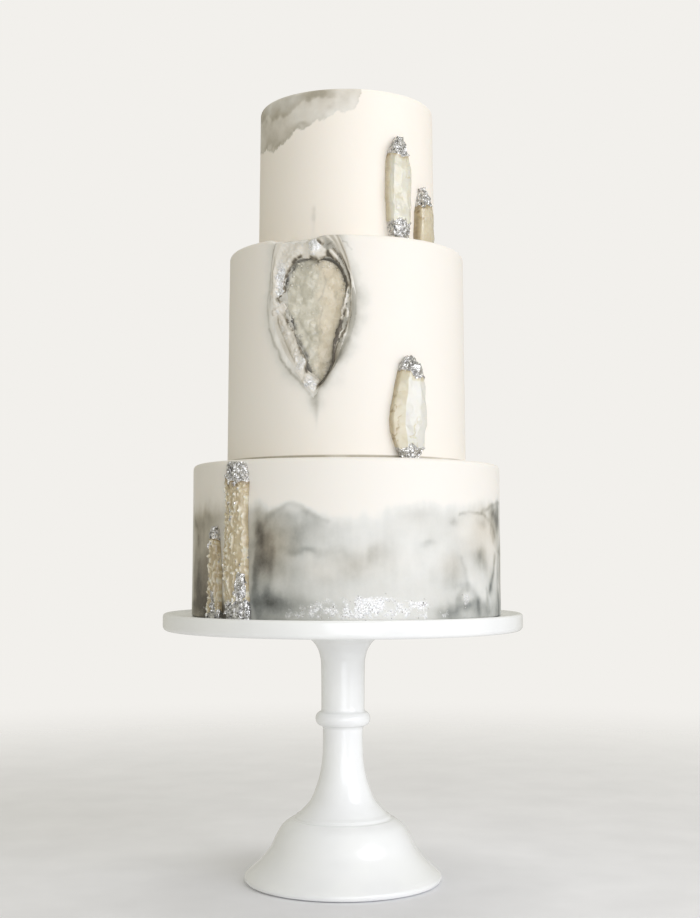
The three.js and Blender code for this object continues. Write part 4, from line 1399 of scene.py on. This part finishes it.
# the amber attribute also carries painted shadow under the leaf and, on the ridged shards, painted highlight
# on the crests and painted shade between them
depth = add_node(tree, "ShaderNodeAttribute", attribute_name="amber")
spread = add_node(
    tree,
    "ShaderNodeMath",
    {0: cloud.outputs["Fac"], 1: 0.5, 2: depth.outputs["Fac"]},
    operation="MULTIPLY_ADD",
)
tone = add_node(
    tree,
    "ShaderNodeValToRGB",
    {"Fac": spread.outputs[0]},
    [(0.08, "FEFCF2"), (0.28, "F6F0DA"), (0.45, "EFE5CA"), (0.7, "DACAA8"), (0.95, "AC9A78")],
)
ripple = add_node(tree, "ShaderNodeTexNoise", {"Vector": place, "Scale": 1 / (RIPPLE_WIDTH * MM)})
bump = add_node(
    tree, "ShaderNodeBump", {"Height": ripple.outputs["Fac"], "Strength": 0.5, "Distance": 0.6 * MM}
)
feed(
    surface,
    {
        "Base Color": tone.outputs["Color"], "Normal": bump.outputs["Normal"], "Roughness": 0.1, "IOR": 1.5,
        "Transmission Weight": 0.3, "Subsurface Weight": 0.35, "Subsurface Radius": (1.0, 0.9, 0.6),
        "Subsurface Scale": 4 * MM, "Coat Weight": 0.4, "Coat Roughness": 0.04,
    },
)
print("material", poured_sugar.name)

# %% Silver leaf
TARNISH_WIDTH = 2.5  # mm, the duller patches of the leaf

silver_leaf, tree, surface, place = new_material("beaten_silver_leaf")
creases = add_node(tree, "ShaderNodeTexVoronoi", {"Vector": place, "Scale": 1 / (LEAF_CRINKLE * MM)})
tarnish = add_node(
    tree, "ShaderNodeTexNoise", {"Vector": place, "Scale": 1 / (TARNISH_WIDTH * MM), "Detail": 3.0}
)
tone = add_node(
    tree,
    "ShaderNodeValToRGB",
    {"Fac": tarnish.outputs["Fac"]},
    [(0.35, "8C8A88"), (0.5, "CFCECC"), (0.7, "F8F7F4")],
)
gloss = add_node(
    tree,
    "ShaderNodeMapRange",
    {"Value": tarnish.outputs["Fac"], "From Min": 0.3, "From Max": 0.7, "To Min": 0.38, "To Max": 0.16},
)
bump = add_node(
    tree, "ShaderNodeBump", {"Height": creases.outputs["Distance"], "Strength": 0.8, "Distance": 0.6 * MM}
)
feed(
    surface,
    {
        "Base Color": tone.outputs["Color"], "Roughness": gloss.outputs[0], "Normal": bump.outputs["Normal"],
        "Metallic": 1.0,
    },
)
print("material", silver_leaf.name)

# %% [markdown]
# ## The shards
# A shard is set up first as a rough lump: rows of uneven corners between its left and its right outline.
# The flat triangles between those corners are the breaks of the sugar. The rows are then filled in with
# points about half a millimetre apart. The shard on the middle tier turns a broad, deeper coloured face to
# the left. The two shards on the bottom tier were dripped rather than poured, so they are rounded and have
# upright, wandering, beaded ridges. A Voronoi fracture would give sharper splinters, but the outlines that
# belong to each shard would be lost.

# %% The forms of the shards
POINT_STEP = 0.6  # mm between points
FACET_HEIGHT = 11  # mm between the rows of corners
RIGHT_EDGE = 0.68  # share of the width where the front ends and the right face starts
SIDE_FACE = (0.05, 0.84, 0.13, 0)  # left face: its corner across and out, where it ends, how much deeper

# Each outline is a list of height above the tier's base, left edge and right edge, in mm. caps are the
# heights of the leaf at the bottom and at the top, and slant is how far the top's leaf leans.
SHARDS = {
    "shard_top_tall": dict(
        tier="top_tier", azimuth=34, thick=9.5, caps=(17, 16), slant=1, amber=0.02, seed=11,
        outline=[
            (0, -6.5, 6), (7.5, -9.4, 8.2), (15.5, -10.6, 9.2), (34, -11.9, 9.6), (53.5, -11.9, 10.9),
            (72.5, -10.5, 7.6), (82, -7.2, 4.5), (88, -2.5, 2.4),
        ],
    ),
    "shard_top_short": dict(
        tier="top_tier", azimuth=56, thick=9, caps=(2.5, 15), slant=0, amber=0.34, seed=23,
        outline=[
            (0, -11, 11), (6.7, -12, 12.4), (19.7, -10.7, 11), (32.4, -9.6, 8), (39, -7.4, 4.6),
            (44, -6.0, 2.0), (50, -4.2, -1.4),
        ],
    ),
    "shard_middle": dict(
        tier="middle_tier", azimuth=29.5, thick=9.5, caps=(10, 15), slant=11, amber=-0.14, seed=37,
        side=(0.05, 0.64, 0.31, 0.3),
        outline=[
            (0, -8.8, 4.5), (3.4, -10.4, 7), (8, -12, 9.6), (16.7, -16.2, 11.7), (28.3, -18, 14.2),
            (37, -17.3, 13.8), (45.7, -16.1, 13.1), (63.2, -12.7, 12.6), (69, -10.8, 11.4), (75, -8.5, 9.4),
            (79, -6.5, 5.5), (82.5, -3.6, 1.5),
        ],
    ),
    "shard_bottom_tall": dict(
        tier="bottom_tier", azimuth=-41, thick=9.5, caps=(14, 15), slant=0, amber=0.24, seed=43, ridges=True,
        outline=[
            (0, -7.4, 15.4), (5, -7.6, 15.2), (16.7, -9, 14.2), (29, -11, 12.8), (46, -11.4, 12.4),
            (71, -9.6, 12), (96, -9, 11.8), (108.4, -10.8, 12.6), (116.7, -8.6, 11.6), (124, -4.4, 9.4),
        ],
        streak=[(9, 0), (9, 16), (8, 27), (8.5, 34)],
    ),
    "shard_bottom_short": dict(
        tier="bottom_tier", azimuth=-52.6, thick=7.5, caps=(6, 10), slant=0, amber=0.32, seed=59, ridges=True,
        outline=[
            (0, -5.4, 9.8), (8, -5.8, 9.6), (20.4, -5.4, 9.4), (37.3, -4.8, 8.6), (50, -4, 7.4),
            (58.4, -3.4, 6.0), (67, -3.0, 4.8), (73.5, -0.8, 3.0),
        ],
        streak=[(4, 0), (4.5, 12), (3, 20)],
    ),
}


print("shards", len(SHARDS))


# %% Lumps of sugar
def edges_at(level, outline):
    """The left and the right edge of a shard at a height."""
    heights, left, right = zip(*outline)
    return np.interp(level, heights, left), np.interp(level, heights, right)


def rough_lump(outline, thick, seed, side):
    """Rows of [along the wall, out of it, height] corners, from the left wall round to the right."""
    rng = np.random.default_rng(seed)
    corner, corner_out, face, _ = side
    places = np.array([0, corner, face, (face + RIGHT_EDGE) / 2, RIGHT_EDGE, 0.93, 1.0])
    outs = np.array([0, corner_out, 1.0, 1.02, 0.98, 0.72, 0])
    height = outline[-1][0]
    levels = np.linspace(0, height, int(height / FACET_HEIGHT) + 2)
    levels[1:-1] += rng.uniform(-2.5, 2.5, len(levels) - 2)
    rows = []
    for level in levels:
        left, right = edges_at(level, outline)
        inner = places + np.array([0, 0, 0.03, 0.09, 0.09, 0.02, 0]) * rng.uniform(-1, 1, 7)
        along = left + (right - left) * inner + 0.5 * rng.uniform(-1, 1, 7)
        taper = 1 - 0.42 * np.clip(1 - (height - level) / 14, 0, 1) ** 2
        taper -= 0.2 * np.clip(1 - level / 9, 0, 1) ** 2
        out = outs * thick * taper * (1 + 0.08 * rng.uniform(-1, 1, 7))
        up = level + (3.2 if 0 < level < height else 0.8) * rng.uniform(-1, 1, 7)
        rows.append(np.stack([along, out, np.clip(up, 0, None)], 1))
    return np.array(rows)


def filled_in(rows, row_count, column_count):
    """The same lump with more points, on the flat faces between its corners."""
    n_rows, n_columns, _ = rows.shape
    v = np.linspace(0, n_rows - 1, row_count)[:, None]
    u = np.linspace(0, n_columns - 1, column_count)[None, :]
    i, j = np.minimum(v.astype(int), n_rows - 2), np.minimum(u.astype(int), n_columns - 2)
    fv, fu = (v - i)[..., None], (u - j)[..., None]
    a, b, c, d = rows[i, j], rows[i, j + 1], rows[i + 1, j], rows[i + 1, j + 1]
    lower = a + (b - a) * fu + (c - a) * fv
    upper = d + (c - d) * (1 - fu) + (b - d) * (1 - fv)
    return np.where(fu + fv < 1, lower, upper)


def dripped_lump(outline, thick, seed, row_count, column_count):
    """A rounded lump with thin beaded ridges that wander up its front, and how near a crest each point is."""
    level = np.linspace(0, outline[-1][0], row_count)[:, None]
    left, right = edges_at(level, outline)
    across = np.linspace(-1, 1, column_count)[None, :]
    across = np.sign(across) * (1 - (1 - np.abs(across)) ** 1.25)
    half = (right - left) / 2
    count = int(half.max() / 1.1)
    crest = np.zeros((row_count, column_count))
    for i, middle in enumerate(np.linspace(-0.92, 0.92, count)):
        at = np.concatenate([np.full_like(level, 37.0 * i), 0 * level + seed, level], 1)
        wander = 1.6 * cloud_noise(at, 14, seed + 20, 2) + 0.9 * cloud_noise(at, 4.5, seed + 24, 2)
        beads = 0.36 + 0.9 * cloud_noise(at, 5, seed + 28, 2) + 0.7 * value_noise(at, 2.2, seed + 29)
        apart = (across - middle) * half - wander[:, None]
        crest = np.maximum(crest, np.clip(beads, 0, 1.2)[:, None] * np.exp(-((apart / 0.72) ** 2)))
    taper = 1 - 0.35 * np.clip(1 - (outline[-1][0] - level) / 12, 0, 1) ** 2
    arch = (1 - np.abs(across) ** 3.5) ** 0.5
    out = thick * taper * arch * 0.84 + (2.4 * crest - 0.8) * np.clip(1.4 * arch, 0, 1)
    sway = cloud_noise(np.concatenate([0 * level, 0 * level + seed * 3.0, level], 1), 9, seed, 3)[:, None]
    along = left + half * (across + 1) + 0.7 * sway * np.abs(across)
    return np.stack([along, np.clip(out, 0, None), level + 0 * across], -1), crest


def outward(grid):
    """Unit normals of a sheet of points in rows and columns."""
    normal = np.cross(np.gradient(grid, axis=0), np.gradient(grid, axis=1))
    return normal / (np.linalg.norm(normal, axis=-1, keepdims=True) + 1e-9)


print("facets", FACET_HEIGHT, "mm high")

# %% [markdown]
# ## Sugar and leaf on the shards
# Where the leaf ends is ragged, so the border is a height that noise pushes up and down. Under leaf the
# surface is pushed along its own normals by two sizes of crease, and its faces are left flat-shaded, which
# is how crumpled leaf breaks up the light. Bare sugar gets a faint ripple, a few chips and thin cracks, and
# on the ridges flecks of leaf. Which faces are leaf is a second material slot, so the border stays sharp.

# %% Leaf and relief of the shards
RISE = 0.4  # mm of clearance between a shard's back and the wall
BORDER = 0.7  # mm, half the width of the border between leaf and sugar
STREAK = (3.2, 2.2)  # mm from the line of a streak of leaf: where it begins, and where it is full


def leaf_cover(x, up, ragged, height, width, caps, slant, streak):
    """How much leaf is on each point, and how far each is above the lower border of the top's leaf."""
    leaning = slant * np.clip(x / width + 0.5, 0, 1)
    above = up - (height - caps[1] - leaning + slant * 0.5) + ragged
    leafed = smooth_step(BORDER, -BORDER, up - caps[0] + ragged) + smooth_step(-BORDER, BORDER, above)
    if streak:
        leafed += smooth_step(*STREAK, distance_to(x, up, streak) + 0.5 * ragged)
    return np.clip(leafed, 0, 1), above


def relief(flat, torn, leafed, seed, ridges):
    """How far each point is pushed out, in mm, and how strong the cracks in the sugar are."""
    crumple = 1.5 * creased(torn, 4.4, seed + 3) ** 2 + 0.9 * creased(torn, 2.1, seed + 5) ** 2 - 1.1
    crumple += 0.5 * cloud_noise(flat, 7, seed + 6, 2)
    ripple = (0.08 if ridges else 0.14) * cloud_noise(flat, 4, seed + 7, 2)
    chips = (0.0 if ridges else 0.9) * np.clip(value_noise(flat, 5.5, seed + 9) - 0.45, 0, None)
    cracks = np.exp(-((cloud_noise(flat, 13, seed + 35, 4) / 0.05) ** 2)) * (not ridges)
    cracks *= smooth_step(-0.15, 0.3, cloud_noise(flat, 18, seed + 37, 2))
    return leafed * crumple + (1 - leafed) * (ripple - chips - 0.35 * cracks), cracks


def with_back(values, rows):
    """Values of the front in rows, each row's last one carried on over the two columns of the back."""
    return np.pad(values.reshape(rows, -1), ((0, 0), (0, 2)), mode="edge")


print("leaf's border", 2 * BORDER, "mm wide")


# %% Build the shards
def build_shard(name, tier, azimuth, outline, thick, caps, slant, amber, seed, ridges=False, streak=(),
                side=SIDE_FACE):
    """A shard as a closed mesh against a tier's wall, its faces sugar or, where it is covered, leaf."""
    radius, top_radius = TIER_WALLS[tier]
    base, top = tier_span(tier)
    height = outline[-1][0]
    width = max(right - left for _, left, right in outline)
    rows, columns = int(height / POINT_STEP), int((width + 1.7 * thick) / POINT_STEP)
    if ridges:
        front, crest = dripped_lump(outline, thick, seed, rows, int(columns * 1.4))
    else:
        front = filled_in(rough_lump(outline, thick, seed, side), rows, columns)
        crest = np.full(front.shape[:2], 0.5)
    columns = front.shape[1]

    # the leaf's ragged borders, and the relief of leaf and sugar
    x, out, up = front.reshape(-1, 3).T
    flat = front.reshape(-1, 3) + [0, 0, seed * 31.0]
    torn = flat * ([1, 1, 0.4] if ridges else [1, 1, 1])
    ragged = (4 if ridges else 2.4) * cloud_noise(torn, 6, seed, 3)
    ragged += 0.9 * cloud_noise(flat, 2.2, seed + 1, 2)
    leafed, above = leaf_cover(x, up, ragged, height, width, caps, slant, streak)
    push, cracks = relief(flat, torn, leafed, seed, ridges)
    from_wall = np.minimum(np.arange(columns), np.arange(columns)[::-1])
    free = np.tile(np.clip((from_wall - 1) / 4, 0, 1), rows)
    front = front + outward(front) * (push * free).reshape(rows, columns, 1)
    front[..., 1] = np.clip(front[..., 1], 0, None)
    front[..., 2] = np.clip(front[..., 2], 0, top - base + 0.3)

    # two columns behind close the front to a shell, which is bent round the tier
    back = front[:, [-1, 0], :].copy()
    back[..., 1] = -RISE
    shell = np.concatenate([front, back], axis=1)
    x, out, up = shell.reshape(-1, 3).T
    wall = radius + (top_radius - radius) * up / (top - base) + RISE
    points = on_cylinder(np.radians(azimuth) + x / radius, wall + out, base + up, CAKE_OFFSET)
    points = points.reshape(shell.shape)
    points = np.concatenate([points.reshape(-1, 3), [points[0].mean(0), points[-1].mean(0)]])
    faces = capped_faces(rows, columns + 2)

    # the sugar's colour is deeper at the sides and on the left face, painted highlight lightens the ridges'
    # crests and painted shade darkens between them, and a painted shadow lies under the leaf
    deeper = amber + (0.08 if ridges else 0.36) * smooth_step(0.8 * thick, 0.3 * thick, shell[..., 1])
    deeper += 0.5 * (0.36 - with_back(crest, rows))
    deeper += side[3] * (np.arange(columns + 2) < columns / 3)
    deeper += with_back(0.46 * np.exp(-((above / 2.2) ** 2)) + 0.4 * cracks, rows)
    deeper = np.concatenate([deeper.ravel(), [amber, amber]])
    shard = make_mesh(name + "_sugar", points, faces, [poured_sugar, silver_leaf], amber=deeper)

    if ridges:  # flecks of leaf are rubbed off on the crests
        rubbed = smooth_step(0.16, 0.3, cloud_noise(torn, 3, seed + 33, 3))
        leafed = np.maximum(leafed, smooth_step(0.45, 0.7, crest.ravel()) * rubbed)
    cover = np.concatenate([with_back(leafed, rows).ravel(), [1, 1]])
    silvered = np.array([cover[face].mean() > 0.5 for face in faces])
    shard.data.polygons.foreach_set("material_index", silvered.astype(np.int32))
    shard.data.polygons.foreach_set("use_smooth", ~silvered)
    hand_over(shard, "poured_sugar", name)


for name, form in SHARDS.items():
    build_shard(name, **form)

# %% [markdown]
# ## Flakes of leaf along the foot
# Torn scraps of leaf stand a little off the icing and catch the light one by one, which a painted patch
# can't do. They repeat over a surface, so Geometry Nodes scatter them: points are spread over the wall where
# leaf is painted, and each gets a flattened pebble of twenty faces, tilted and scaled at random.

# %% Scatter the flakes
FLAKE_SHAPE = (1.0, 0.7, 0.16)  # length, width and thickness, as shares of its size
FLAKE_SEED = 7
FLAKE_TILT = 0.45  # radians
FLAKE_SIZES = {"Density": 110000.0, "Smallest": 0.35 * MM, "Largest": 1.0 * MM}


def points_on_leaf(tree, given):
    """Points at random, many where the surface's leaf attribute is high and few where it is low."""
    leaf = add_node(tree, "GeometryNodeInputNamedAttribute", {"Name": "leaf"}, data_type="FLOAT")
    share = add_node(tree, "ShaderNodeMath", {0: leaf.outputs["Attribute"], 1: 2.0}, operation="POWER")
    amount = add_node(
        tree, "ShaderNodeMath", {0: share.outputs[0], 1: given["Density"]}, operation="MULTIPLY"
    )
    return add_node(
        tree,
        "GeometryNodeDistributePointsOnFaces",
        {"Mesh": given["Surface"], "Density": amount.outputs[0], "Seed": given["Seed"]},
        distribute_method="RANDOM",
    )


def flat_pebble(tree):
    """A pebble of twenty faces, squeezed flat."""
    pebble = add_node(tree, "GeometryNodeMeshIcoSphere", {"Radius": 1.0, "Subdivisions": 1})
    squeezed = {"Geometry": pebble.outputs["Mesh"], "Scale": FLAKE_SHAPE}
    return add_node(tree, "GeometryNodeTransform", squeezed).outputs["Geometry"]


flakes = bpy.data.objects.new("leaf_flakes", bottom.data.copy())
bpy.context.scene.collection.objects.link(flakes)
flake_tree = scatter_tree("flakes_of_leaf", FLAKE_SIZES, points_on_leaf, flat_pebble, FLAKE_TILT, silver_leaf)
grow(flakes, flake_tree, {**FLAKE_SIZES, "Seed": FLAKE_SEED})
hand_over(flakes, "silver_leaf")
